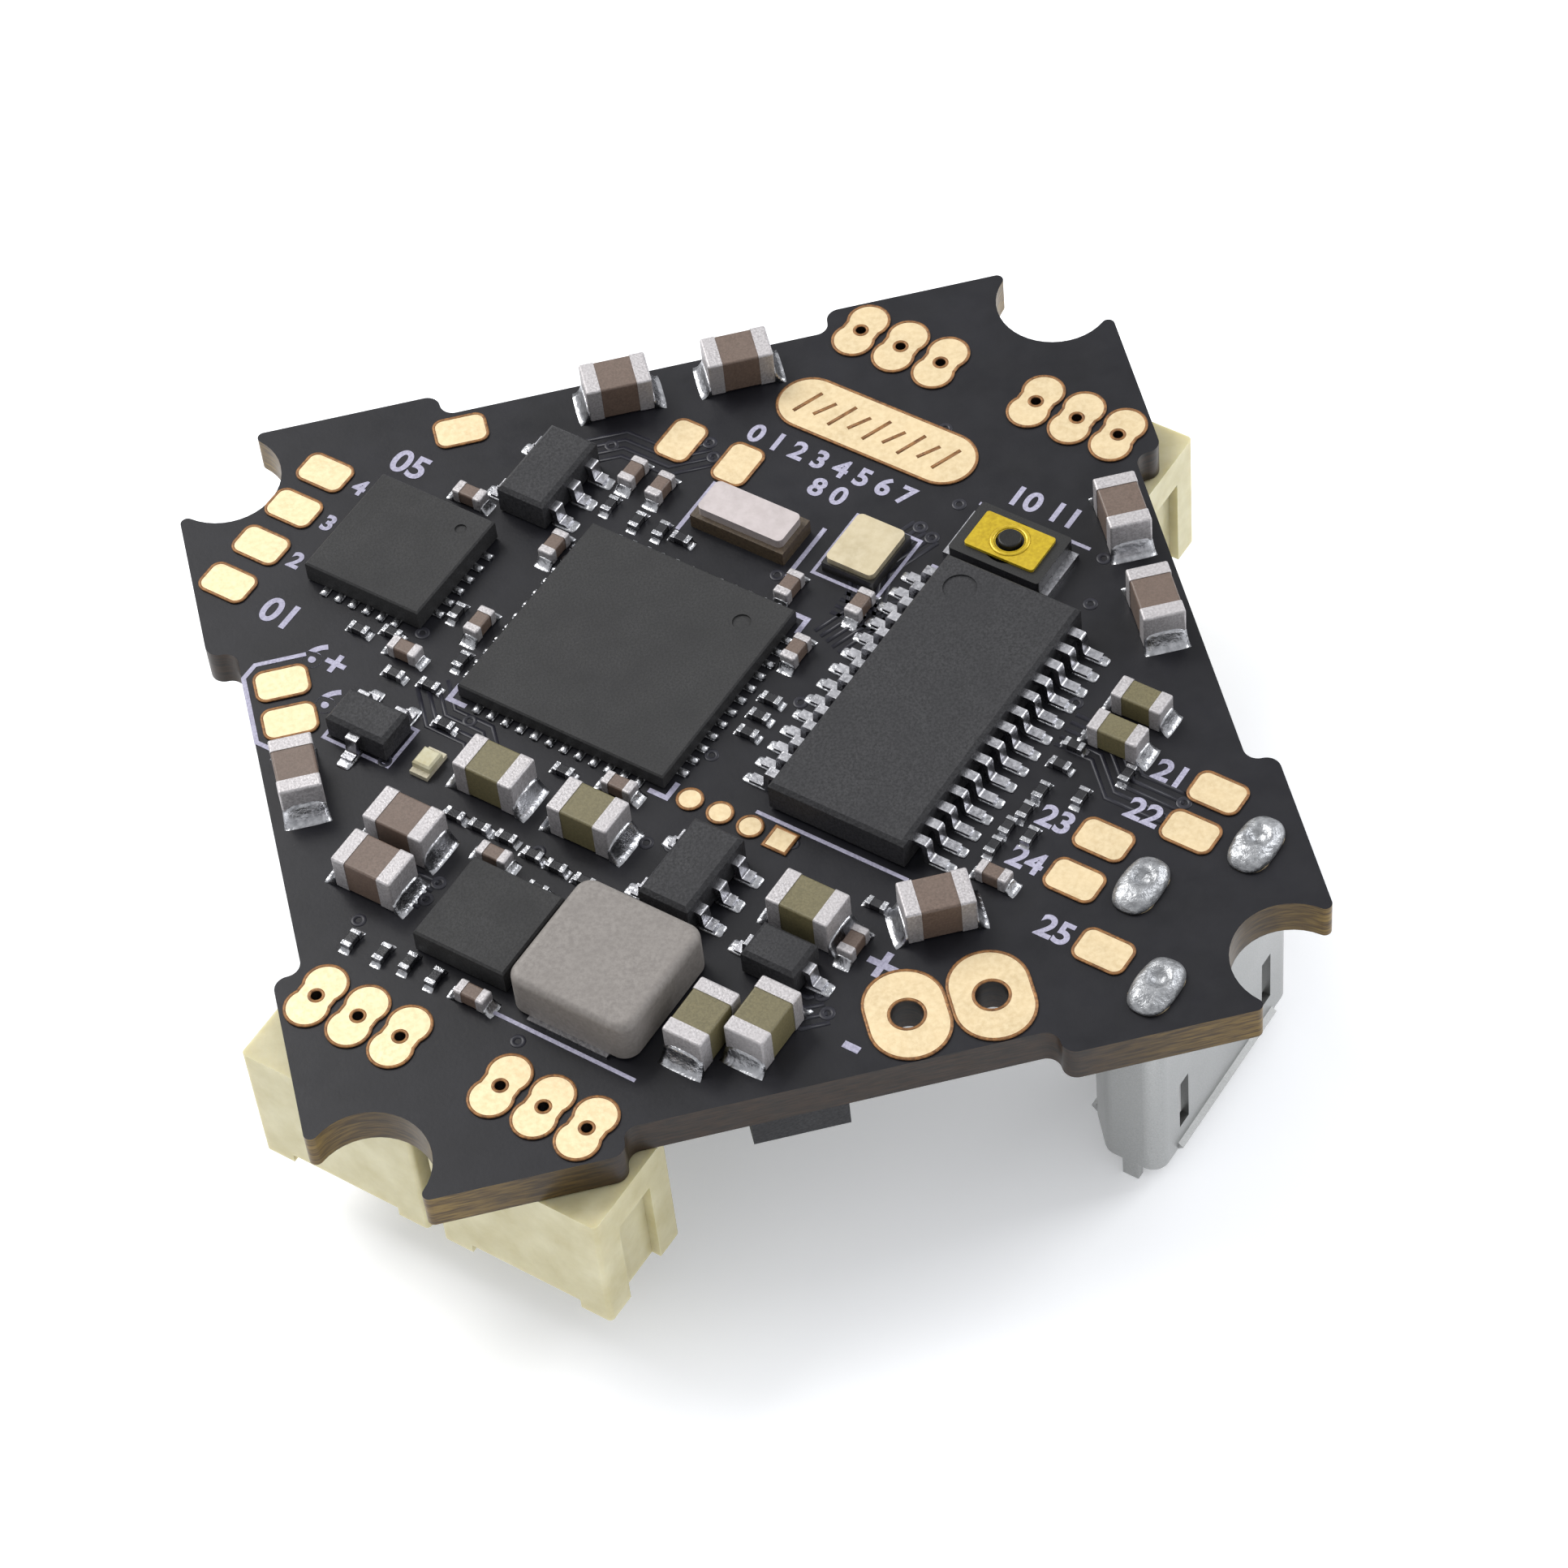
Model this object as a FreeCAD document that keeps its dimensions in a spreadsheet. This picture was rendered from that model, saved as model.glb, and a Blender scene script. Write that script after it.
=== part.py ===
import FreeCAD, Part
import math
import os
import re
import Sketcher

# Flight controller board, millimetres.
# The origin is the middle of the board's underside; +Z is the board's top side.
# The surface parts sit on a grid turned 45 degrees: u runs along the board's diagonal towards the
# USB socket and v runs across it.

DIMENSIONS = {
    # circuit board
    "board_side": 28.5, "board_thickness": 1.2, "mount_pitch": 25.5, "notch_radius": 1.75,
    "relief_depth": 0.85, "relief_half": 5.97, "relief_round": 0.42, "ear_round": 0.2,
    # how far a cut runs past an open side, and how much a full round end falls short of a half circle
    "overshoot": 1.0, "round_margin": 0.01,
    # bare pads
    "pad_thickness": 0.05, "signal_length": 1.55, "signal_width": 1.1, "signal_round": 0.3,
    "lobe_radius": 0.62, "lobe_offset": 0.45, "lobe_waist": 1.08, "motor_hole_radius": 0.2,
    "motor_pitch": 1.4, "motor_row": 14.15,
    "battery_width": 2.25, "battery_length": 2.95, "battery_hole_radius": 0.5, "battery_pitch": 2.35,
    "test_radius": 0.36, "patch_length": 6.6, "patch_width": 2.0,
    "leg_pad_length": 1.95, "leg_pad_width": 1.2,
    # microcontroller
    "micro_side": 7.0, "micro_height": 0.55, "micro_pitch": 0.5, "micro_edge": 0.05, "micro_dot": 0.28,
    # on-screen display chip
    "display_length": 9.7, "display_width": 4.4, "display_height": 1.0, "display_standoff": 0.1,
    "display_edge": 0.12, "display_pitch": 0.65, "display_dimple": 0.5, "display_dimple_inset": 1.0,
    # gyro chip
    "gyro_side": 4.0, "gyro_height": 0.75, "gyro_pitch": 0.5, "gyro_edge": 0.05, "gyro_dot": 0.18,
    # lands under the edges of the flat chips
    "land_inside": 0.25, "land_outside": 0.3, "land_width": 0.25, "land_height": 0.05,
    # gull-wing leads
    "lead_thickness": 0.16, "display_lead_bend": 0.1, "small_lead_bend": 0.06, "lead_slope": 0.06,
    "display_lead_reach": 1.0, "display_lead_foot": 0.55, "display_lead_rise": 0.62,
    "display_lead_width": 0.3,
    "small_lead_reach": 0.55, "small_lead_foot": 0.32, "small_lead_rise": 0.5, "small_lead_width": 0.38,
    # boot button
    "button_length": 3.5, "button_width": 2.0, "button_height": 0.65, "button_round": 0.1,
    "button_well_radius": 0.8, "button_floor": 0.12, "button_terminal": 0.25,
    "button_terminal_width": 1.8, "button_terminal_height": 0.2, "button_gap": 0.02,
    "cover_length": 2.3, "cover_width": 1.4, "cover_thickness": 0.1, "cover_opening": 0.42,
    "dome_radius": 0.65, "dome_rise": 0.11, "dome_shoulder": 0.08, "dome_thickness": 0.05,
    "plunger_radius": 0.35, "plunger_flange_radius": 0.7, "plunger_flange": 0.1,
    "plunger_proud": 0.14, "plunger_round": 0.06,
    # crystals
    "main_crystal_length": 3.2, "main_crystal_width": 1.5, "main_crystal_height": 0.5,
    "main_lid_length": 2.9, "main_lid_width": 1.2, "main_lid_height": 0.3,
    "small_crystal_length": 1.75, "small_crystal_width": 2.1, "small_crystal_height": 0.35,
    "small_lid_length": 1.6, "small_lid_width": 1.95, "small_lid_height": 0.2, "lid_round": 0.18,
    # inductor
    "inductor_side": 4.0, "inductor_height": 1.5, "inductor_round": 0.5, "inductor_top_round": 0.25,
    "inductor_foot": 0.6, "inductor_foot_proud": 0.15, "inductor_foot_width": 2.6, "inductor_gap": 0.1,
    # converter chip
    "converter_side": 3.0, "converter_height": 0.85, "converter_edge": 0.06, "converter_pitch": 0.65,
    # regulators, transistor and diodes
    "regulator_length": 2.9, "regulator_width": 1.6, "regulator_height": 1.0, "regulator_pitch": 0.95,
    "transistor_length": 2.0, "transistor_width": 1.25, "transistor_height": 0.85,
    "transistor_pitch": 1.3, "small_standoff": 0.06, "small_edge": 0.12,
    "diode_length": 1.7, "diode_width": 1.25, "diode_height": 0.9,
    "under_diode_length": 2.7, "under_diode_width": 1.6, "under_diode_height": 1.1,
    # status light
    "light_length": 1.0, "light_width": 0.6, "light_base_height": 0.15, "light_lens_height": 0.25,
    "light_lens_length": 0.65, "light_round": 0.06,
    # two-terminal chip parts
    "large_length": 2.0, "large_width": 1.25, "large_height": 1.25, "large_end": 0.45,
    "medium_length": 1.6, "medium_width": 0.8, "medium_height": 0.85, "medium_end": 0.35,
    "small_length": 1.0, "small_width": 0.5, "small_height": 0.5, "small_end": 0.25,
    "resistor_length": 0.62, "resistor_width": 0.32, "resistor_height": 0.24, "resistor_end": 0.15,
    "chip_round": 0.07, "chip_inset": 0.02, "resistor_round": 0.03,
    # USB socket
    "usb_face": 15.9, "usb_flat": 1.7, "usb_depth": 2.65, "usb_width": 7.5, "usb_back_width": 5.4,
    "usb_bend": 0.5, "usb_wall": 0.25, "usb_drop": 6.1, "usb_clearance": 0.05,
    "usb_lip_width": 5.4, "usb_lip_reach": 0.16, "usb_lip_drop": 0.25,
    "usb_tab_width": 0.5, "usb_tab_drop": 0.7, "usb_tab_place": 14.95,
    "usb_slit_place": 2.35, "usb_slit_width": 0.5, "usb_slit_length": 2.0, "usb_slit_end": 0.9,
    "usb_leg_width": 0.9, "usb_leg_thickness": 0.25, "usb_leg_slot": 0.15, "usb_side_leg": 2.76,
    "usb_front_leg_place": 15.35, "usb_back_leg_place": 13.3, "usb_plug_depth": 1.4,
    "tongue_width": 3.6, "tongue_thickness": 0.6, "tongue_length": 3.9,
    "contact_pitch": 0.65, "contact_width": 0.3, "contact_length": 3.2, "contact_thickness": 0.08,
    # motor sockets
    "socket_length": 5.6, "socket_width": 3.4, "socket_height": 4.6, "socket_round": 0.15,
    "socket_along": 3.05, "socket_across": 14.4, "socket_wall": 0.5, "socket_roof": 0.9,
    "socket_slot_width": 3.6, "socket_slot_depth": 0.35, "socket_slot_reach": 0.75,
    "socket_recess_width": 1.5, "socket_recess_depth": 0.3, "socket_recess_drop": 3.4, "socket_gap": 0.05,
    "pin_radius": 0.16, "pin_below": 3.7, "pin_above": 0.75,
    # underside electronics
    "driver_side": 3.0, "driver_height": 0.75, "driver_edge": 0.05, "driver_pitch": 0.5,
    "power_side": 2.6, "power_height": 0.8, "power_edge": 0.06, "power_pitch": 0.65,
    "shunt_length": 3.2, "shunt_width": 1.6, "shunt_height": 0.55, "shunt_end": 0.55,
}

ALONG_U = -45
ALONG_V = 45
ALONG_X = 0
ALONG_Y = 90

# Places of single parts on the top face: x, y, then the direction of the part's length.
MICRO_PLACE = (-2.5, 2.5, ALONG_U)
DISPLAY_PLACE = (5.2, -2.05, ALONG_V)
GYRO_PLACE = (-8.1, 8.1, ALONG_U)
BUTTON_PLACE = (8.95, 3.15, ALONG_U)
MAIN_CRYSTAL_PLACE = (1.95, 6.35, ALONG_U)
SMALL_CRYSTAL_PLACE = (4.95, 4.35, ALONG_U)
INDUCTOR_PLACE = (-5.3, -8.65, ALONG_U)
CONVERTER_PLACE = (-8.1, -6.05, ALONG_U)
TRANSISTOR_PLACE = (-10.15, 1.85, ALONG_U)
DIODE_PLACE = (-0.7, -9.4, ALONG_U)
LIGHT_PLACE = (-8.75, 0.25, ALONG_V)
REGULATOR_PLACES = [(-2.4, -6.0, ALONG_V), (-3.4, 9.6, ALONG_V)]

# Places of the two-terminal chip parts on the top face.
BROWN_PLACES = [
    (-12.4, 0.4, ALONG_Y), (12.35, 3.35, ALONG_Y), (12.35, -0.25, ALONG_Y), (-0.75, 12.45, ALONG_X),
    (2.95, 12.45, ALONG_X), (3.8, -8.95, ALONG_X), (-9.75, -2.25, ALONG_U), (-10.85, -3.5, ALONG_U),
]
OLIVE_PLACES = [
    (-7.0, -1.1, ALONG_U), (-4.75, -3.35, ALONG_U), (0.4, -8.15, ALONG_U), (-3.2, -11.1, ALONG_V),
    (-1.6, -11.5, ALONG_V),
]
MEDIUM_PLACES = [(11.05, -3.5, ALONG_U), (10.1, -4.45, ALONG_U)]
SMALL_PLACES = [
    (-8.65, 4.4, ALONG_U), (-5.75, 9.75, ALONG_U), (-3.7, -2.2, ALONG_U), (-7.55, -3.65, ALONG_U),
    (-9.0, -8.2, ALONG_U), (5.6, -8.1, ALONG_U), (-6.4, 4.8, ALONG_V), (-3.75, 7.1, ALONG_V),
    (2.5, 3.65, ALONG_V), (4.3, 2.4, ALONG_V), (2.15, 1.25, ALONG_V), (1.35, -9.3, ALONG_V),
    (-0.95, 9.25, ALONG_V), (-0.3, 8.45, ALONG_V),
]
RESISTOR_PLACES = [
    (-9.8, 5.7, ALONG_U), (-9.1, 3.75, ALONG_U), (-8.2, 3.05, ALONG_U), (-8.05, 1.5, ALONG_U),
    (1.1, -0.2, ALONG_U), (0.65, -0.7, ALONG_U), (0.2, -1.2, ALONG_U), (-0.1, 6.45, ALONG_U),
    (8.35, -4.75, ALONG_U), (8.9, -4.2, ALONG_U), (-8.9, 5.3, ALONG_U), (-6.95, 5.55, ALONG_V),
    (-7.15, 3.7, ALONG_V), (-1.85, 8.35, ALONG_V), (-1.2, 7.5, ALONG_V), (-0.6, 6.95, ALONG_V),
    (10.05, -5.6, ALONG_V), (7.6, -5.5, ALONG_V), (7.0, -6.05, ALONG_V), (6.4, -6.45, ALONG_V),
    (6.9, -6.95, ALONG_V), (5.85, -7.0, ALONG_V), (8.6, -6.0, ALONG_V), (-11.9, -5.3, ALONG_V),
    (-11.15, -6.0, ALONG_V), (-10.5, -6.5, ALONG_V), (-9.9, -7.2, ALONG_V), (-5.1, -1.1, ALONG_U),
    (-7.75, -2.4, ALONG_U), (-8.35, -1.8, ALONG_U), (-7.1, -3.0, ALONG_U), (-6.5, -3.8, ALONG_U),
    (-5.95, -4.4, ALONG_U), (-6.6, -5.0, ALONG_U), (-5.3, -5.1, ALONG_U), (2.3, -8.1, ALONG_U),
]

# Places of the bare pads: u and v on the 45 degree grid, then the turn away from u.
SIGNAL_PADS = [
    (-15.45, -3.25, 0), (-15.45, -1.6, 0), (-15.45, 0.05, 0), (-15.45, 1.65, 0),
    (11.6, -0.7, 0), (11.6, 0.9, 0), (13.55, 2.3, 0), (13.55, 3.85, 0), (13.5, -2.4, 0),
    (-6.8, 7.8, 90), (-4.8, 7.8, 90),
]
TEST_PADS = [(0.8, -3.45, 0), (1.8, -3.45, 0), (2.8, -3.45, 0), (3.8, -3.45, 0)]
PATCH_PLACE = (-1.9, 10.9)

# Places of the bare pads that follow the board's sides, and of the battery holes' middle.
EDGE_PADS = [(-5.55, 12.6, ALONG_X), (-12.3, 4.4, ALONG_X), (-12.3, 2.95, ALONG_X)]
BATTERY_PLACE = (3.4, -11.85)

# Places on the underside: those of one quarter, and those that come once.
DRIVER_PLACE = (4.4, 4.4)
POWER_PLACES = [(8.5, 1.7), (8.5, 5.1), (5.1, 8.5)]
UNDER_CAPACITORS = [(4.4, 1.6), (1.6, 5.2)]
UNDER_DIODE = (-1.15, -12.5)
SHUNT_PLACE = (-1.6, -8.9)

GRID_TURN = -45.0
QUARTERS = (0, 90, 180, 270)
TINY = 0.001

# Counts of leads, lands and contacts, and the dot radii between a chip's dot and its corner.
MICRO_LANDS = 12
GYRO_LANDS = 6
CONVERTER_LANDS = 4
DRIVER_LANDS = 5
POWER_LANDS = 4
DISPLAY_LEADS = 14
USB_CONTACTS = 5
DOT_INSET = 4

doc = FreeCAD.newDocument("FlightController")
sheet = doc.addObject("Spreadsheet::Sheet", "Dimensions")
for row, (alias, value) in enumerate(DIMENSIONS.items(), start=1):
    sheet.set("A%d" % row, alias)
    sheet.set("B%d" % row, str(value))
    sheet.setAlias("B%d" % row, alias)
doc.recompute()

nodes = []


# Helpers: the sheet, places and edges.

def size(alias):
    """The value of one cell."""
    return float(sheet.get(alias))


def cells(formula):
    """Turn 'board_side / 2' into the expression that reads those cells."""
    return re.sub(r"[a-z][a-z_]+", lambda word: "Dimensions." + word.group(0), formula)


def top():
    """Height of the board's top face."""
    return size("board_thickness")


def on_grid(u, v, turn=0.0, height=None):
    """A place on the top face, given on the 45 degree grid."""
    grid = FreeCAD.Placement(FreeCAD.Vector(), FreeCAD.Rotation(GRID_TURN, 0, 0))
    here = FreeCAD.Placement(FreeCAD.Vector(u, v, 0), FreeCAD.Rotation(turn, 0, 0))
    level = top() if height is None else height
    lift = FreeCAD.Placement(FreeCAD.Vector(0, 0, level), FreeCAD.Rotation())
    return lift.multiply(grid).multiply(here)


def on_board(x, y, turn=0.0):
    """A place on the top face, given along the board's sides."""
    return FreeCAD.Placement(FreeCAD.Vector(x, y, top()), FreeCAD.Rotation(turn, 0, 0))


def under_board(x, y, turn=0.0):
    """A place on the underside, with the part's own up pointing down."""
    flip = FreeCAD.Rotation(FreeCAD.Vector(1, 0, 0), 180)
    return FreeCAD.Placement(FreeCAD.Vector(x, y, 0), FreeCAD.Rotation(turn, 0, 0).multiply(flip))


def quarter_turns(place):
    """The same place in each quarter of the board."""
    return [turned(angle).multiply(place) for angle in QUARTERS]


def in_a_row(count, pitch):
    """Places of a centred row along one line."""
    return [(n - (count - 1) / 2) * pitch for n in range(count)]


def turned(angle, x=0.0, y=0.0):
    """A flat move by x and y and then a turn, within a part's own frame."""
    move = FreeCAD.Placement(FreeCAD.Vector(x, y, 0), FreeCAD.Rotation())
    return FreeCAD.Placement(FreeCAD.Vector(), FreeCAD.Rotation(angle, 0, 0)).multiply(move)


def edges_where(shape, test):
    """Names of the edges that pass a test on their bounding box."""
    return ["Edge%d" % n for n, edge in enumerate(shape.Edges, start=1) if test(edge.BoundBox)]


def upright(box):
    """True for an edge that runs along Z."""
    return box.XLength < TINY and box.YLength < TINY


def at_height(height):
    """Test for an edge that lies flat at one height."""
    return lambda box: box.ZLength < TINY and abs(box.ZMin - height) < TINY


# Helpers: PartDesign features bound to the sheet.

def new_body(label):
    """An empty body."""
    body = doc.addObject("PartDesign::Body", label)
    body.Label = label
    return body


def new_sketch(body, name, plane="XY_Plane", offset=None):
    """A sketch on one of the body's own origin planes."""
    sketch = body.newObject("Sketcher::SketchObject", body.Label + "_" + name)
    support = [item for item in body.Origin.OriginFeatures if item.Role == plane][0]
    sketch.AttachmentSupport = (support, [""])
    sketch.MapMode = "FlatFace"
    if offset is not None:
        sketch.setExpression("AttachmentOffset.Base.z", cells(offset))
    return sketch


def place_point(sketch, geometry, point, formulas, start):
    """Fix a sketch point at x and y formulas; a formula of '0' keeps it on that axis."""
    across_axis = {"DistanceX": -2, "DistanceY": -1}
    for kind, formula, first_value in zip(("DistanceX", "DistanceY"), formulas, start):
        if formula == "0":
            sketch.addConstraint(Sketcher.Constraint("PointOnObject", geometry, point, across_axis[kind]))
            continue
        number = sketch.addConstraint(Sketcher.Constraint(kind, -1, 1, geometry, point, first_value))
        name = "Point%d%s" % (geometry, kind[-1])
        sketch.renameConstraint(number, name)
        sketch.setExpression("Constraints." + name, cells(formula))


def outline(sketch, corners):
    """A closed outline of straight sides whose corners are pairs of formulas."""
    count = len(corners)
    first = sketch.GeometryCount
    angles = [2 * math.pi * (n + 0.5) / count for n in range(count)]
    start = [FreeCAD.Vector(math.cos(angle), math.sin(angle), 0) for angle in angles]
    for n in range(count):
        sketch.addGeometry(Part.LineSegment(start[n], start[(n + 1) % count]), False)
    for n in range(count):
        sketch.addConstraint(Sketcher.Constraint("Coincident", first + n, 2, first + (n + 1) % count, 1))
    for n, corner in enumerate(corners):
        place_point(sketch, first + n, 1, corner, (start[n].x, start[n].y))


def box_outline(sketch, left, right, low, high):
    """A rectangle between four formulas."""
    outline(sketch, [(left, low), (right, low), (right, high), (left, high)])


def rectangle(sketch, length, width):
    """A rectangle about the sketch's origin."""
    half_length = "(%s) / 2" % length
    half_width = "(%s) / 2" % width
    box_outline(sketch, "-" + half_length, half_length, "-" + half_width, half_width)


def circle(sketch, radius, x="0", y="0"):
    """A circle with a radius and a centre given as formulas."""
    number = sketch.addGeometry(Part.Circle(FreeCAD.Vector(1, 1, 0), FreeCAD.Vector(0, 0, 1), 1.0), False)
    bound = sketch.addConstraint(Sketcher.Constraint("Radius", number, 1.0))
    name = "Radius%d" % number
    sketch.renameConstraint(bound, name)
    sketch.setExpression("Constraints." + name, cells(radius))
    place_point(sketch, number, 3, (x, y), (1, 1))


def pad(body, sketch, length, both_ways=False, downward=False):
    """Add the sketch's shape over a length."""
    feature = body.newObject("PartDesign::Pad", sketch.Label + "_pad")
    feature.Profile = sketch
    feature.setExpression("Length", cells(length))
    if both_ways:
        feature.SideType = "Symmetric"
    feature.Reversed = downward
    doc.recompute()


def pocket(body, sketch, depth=None, both_ways=False, upward=False):
    """Cut the sketch's shape over a depth, or right through; the volume has to shrink."""
    before = body.Shape.Volume
    feature = body.newObject("PartDesign::Pocket", sketch.Label + "_pocket")
    feature.Profile = sketch
    if depth is None:
        feature.Type = "ThroughAll"
    else:
        feature.setExpression("Length", cells(depth))
    if both_ways:
        feature.SideType = "Symmetric"
    feature.Reversed = upward
    doc.recompute()
    if not body.Shape.Volume < before:
        raise RuntimeError(feature.Name + " cuts nothing")
    return feature


def dress(body, kind, test, amount):
    """A fillet or a chamfer on the edges that pass the test."""
    base = body.Tip
    names = edges_where(body.Shape, test)
    feature = body.newObject("PartDesign::" + kind, body.Label + "_" + kind.lower())
    feature.Base = (base, names)
    feature.setExpression({"Fillet": "Radius", "Chamfer": "Size"}[kind], cells(amount))
    doc.recompute()


def around(body, features, count):
    """Repeat features round the Z axis."""
    pattern = body.newObject("PartDesign::PolarPattern", features[0].Name + "_pattern")
    pattern.Originals = features
    axis = [item for item in body.Origin.OriginFeatures if item.Role == "Z_Axis"][0]
    pattern.Axis = (axis, [""])
    pattern.Angle = 360
    pattern.Occurrences = count
    body.Tip = pattern
    doc.recompute()


def block(label, length, width, height, edge=None, lift=None):
    """A rectangular block on its base, its top rim broken by a chamfer."""
    body = new_body(label)
    sketch = new_sketch(body, "outline", offset=lift)
    rectangle(sketch, length, width)
    pad(body, sketch, height)
    if edge is not None:
        dress(body, "Chamfer", at_height(body.Shape.BoundBox.ZMax), edge)
    return body


def dimple(body, radius, x, y, depth):
    """A round mark sunk into the top face."""
    sketch = new_sketch(body, "mark")
    roof = FreeCAD.Vector(0, 0, body.Shape.BoundBox.ZMax)
    sketch.AttachmentOffset = FreeCAD.Placement(roof, FreeCAD.Rotation())
    circle(sketch, radius, x, y)
    pocket(body, sketch, depth)


def add_node(item):
    """Keep an object as one of the exported nodes."""
    nodes.append(item)


def copies(label, templates_and_places):
    """One node of separate solids: each template's shape at each of its places."""
    solids = []
    for template, places in templates_and_places:
        for place in places:
            for solid in template.Shape.Solids:
                moved = solid.copy()
                moved.Placement = place.multiply(solid.Placement)
                solids.append(moved)
    node = doc.addObject("Part::Feature", label)
    node.Label = label
    node.Shape = Part.Compound(solids)
    add_node(node)


# The circuit board and its bare pads.

def make_board():
    """The board: corner notches, edge reliefs and every hole."""
    body = new_body("circuit_board")
    square = new_sketch(body, "square")
    rectangle(square, "board_side", "board_side")
    pad(body, square, "board_thickness")
    relief = new_sketch(body, "relief")
    edge = "board_side / 2"
    outside = edge + " + overshoot"
    box_outline(relief, "-relief_half", "relief_half", edge + " - relief_depth", outside)
    around(body, [pocket(body, relief, both_ways=True)], len(QUARTERS))
    dress(body, "Fillet", relief_edge, "relief_round")
    notch = new_sketch(body, "notch")
    circle(notch, "notch_radius", "mount_pitch / 2", "mount_pitch / 2")
    corner = new_sketch(body, "corner")
    box_outline(corner, "mount_pitch / 2", outside, "mount_pitch / 2", outside)
    cuts = [pocket(body, notch, both_ways=True), pocket(body, corner, both_ways=True)]
    around(body, cuts, len(QUARTERS))
    dress(body, "Fillet", notch_tip_edge, "ear_round")
    holes = new_sketch(body, "battery_holes")
    for side in (-1, 1):
        x = "%s + %d * battery_pitch / 2" % (BATTERY_PLACE[0], side)
        circle(holes, "battery_hole_radius", x, str(BATTERY_PLACE[1]))
    pocket(body, holes, both_ways=True)
    small = new_sketch(body, "motor_holes")
    small.AttachmentOffset = turned(GRID_TURN)
    for group, side, place in motor_places():
        x = "%d * socket_along + %d * motor_pitch" % (group, place)
        circle(small, "motor_hole_radius", x, "%d * motor_row" % side)
    pocket(body, small, both_ways=True)
    slots = new_sketch(body, "leg_slots")
    slots.AttachmentOffset = turned(GRID_TURN)
    across = "(usb_leg_thickness / 2 + usb_leg_slot)"
    along = "(usb_leg_width / 2 + usb_leg_slot)"
    for u, v in leg_places():
        box_outline(slots, u + " - " + across, u + " + " + across, v + " - " + along, v + " + " + along)
    pocket(body, slots, both_ways=True)
    add_node(body)


def relief_edge(box):
    """True for the upright edges at a relief's two ends."""
    reach = max(abs(box.XMin), abs(box.YMin))
    along = min(abs(box.XMin), abs(box.YMin))
    return upright(box) and abs(along - size("relief_half")) < TINY and reach > size("relief_half")


def notch_tip_edge(box):
    """True for the upright edges where a notch meets the board's outer sides."""
    reach = max(abs(box.XMin), abs(box.YMin))
    along = min(abs(box.XMin), abs(box.YMin))
    half = size("mount_pitch") / 2
    on_side = abs(reach - size("board_side") / 2) < TINY
    return upright(box) and on_side and half - size("notch_radius") < along < half


def motor_places():
    """Each motor hole: its group, its side of the board and its place in the group."""
    return [(group, side, place) for side in (-1, 1) for group in (-1, 1) for place in (-1, 0, 1)]


def leg_places():
    """Formulas of u and v for the three legs of the USB shell."""
    return [
        ("usb_front_leg_place", "usb_side_leg"),
        ("usb_front_leg_place", "-usb_side_leg"),
        ("usb_back_leg_place", "0"),
    ]


def rounded_plate(label, length, width, rounding):
    """A flat pad with rounded corners."""
    plate = block(label, length, width, "pad_thickness")
    dress(plate, "Fillet", upright, rounding)
    return plate


def make_signal_pads():
    """The bare rectangular pads."""
    plate = rounded_plate("signal_pad_shape", "signal_length", "signal_width", "signal_round")
    places = [on_grid(*place) for place in SIGNAL_PADS] + [on_board(*place) for place in EDGE_PADS]
    copies("signal_pads", [(plate, places)])


def make_motor_pads():
    """The twelve two-lobed motor pads, each round its hole."""
    plate = new_body("motor_pad_shape")
    for side in (-1, 1):
        lobe = new_sketch(plate, "lobe%d" % (side + 1))
        circle(lobe, "lobe_radius", "0", "%d * lobe_offset" % side)
        pad(plate, lobe, "pad_thickness")
    waist = new_sketch(plate, "waist")
    rectangle(waist, "lobe_waist", "lobe_offset * 2")
    pad(plate, waist, "pad_thickness")
    hole = new_sketch(plate, "hole")
    circle(hole, "motor_hole_radius")
    pocket(plate, hole, both_ways=True)
    places = []
    for group, side, place in motor_places():
        u = group * size("socket_along") + place * size("motor_pitch")
        places.append(on_grid(u, side * size("motor_row")))
    copies("motor_pads", [(plate, places)])


def make_battery_pads():
    """The two oval battery pads with their open holes."""
    rounding = "battery_width / 2 - round_margin"
    plate = rounded_plate("battery_pad_shape", "battery_width", "battery_length", rounding)
    hole = new_sketch(plate, "hole")
    circle(hole, "battery_hole_radius")
    pocket(plate, hole, both_ways=True)
    x, y = BATTERY_PLACE
    step = size("battery_pitch") / 2
    copies("battery_pads", [(plate, [on_board(x - step, y), on_board(x + step, y)])])


def make_test_pads():
    """Three round test pads and a square one."""
    disc = new_body("test_pad_shape")
    sketch = new_sketch(disc, "disc")
    circle(sketch, "test_radius")
    pad(disc, sketch, "pad_thickness")
    square = block("square_pad_shape", "2 * test_radius", "2 * test_radius", "pad_thickness")
    places = [on_grid(*place) for place in TEST_PADS]
    copies("test_pads", [(disc, places[:-1]), (square, places[-1:])])


def make_copper_patch():
    """A plain gold patch with round ends."""
    patch = rounded_plate("copper_patch", "patch_length", "patch_width", "patch_width / 2 - round_margin")
    patch.Placement = on_grid(*PATCH_PLACE)
    add_node(patch)


def make_leg_pads():
    """The oval pads round the legs of the USB shell."""
    rounding = "leg_pad_width / 2 - round_margin"
    plate = rounded_plate("leg_pad_shape", "leg_pad_width", "leg_pad_length", rounding)
    slot = new_sketch(plate, "slot")
    rectangle(slot, "usb_leg_thickness + 2 * usb_leg_slot", "usb_leg_width + 2 * usb_leg_slot")
    pocket(plate, slot, both_ways=True)
    front = size("usb_front_leg_place")
    back = size("usb_back_leg_place")
    side = size("usb_side_leg")
    places = [on_grid(front, side), on_grid(front, -side), on_grid(back, 0)]
    copies("usb_leg_pads", [(plate, places)])


# Flat chips and their lands.

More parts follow.
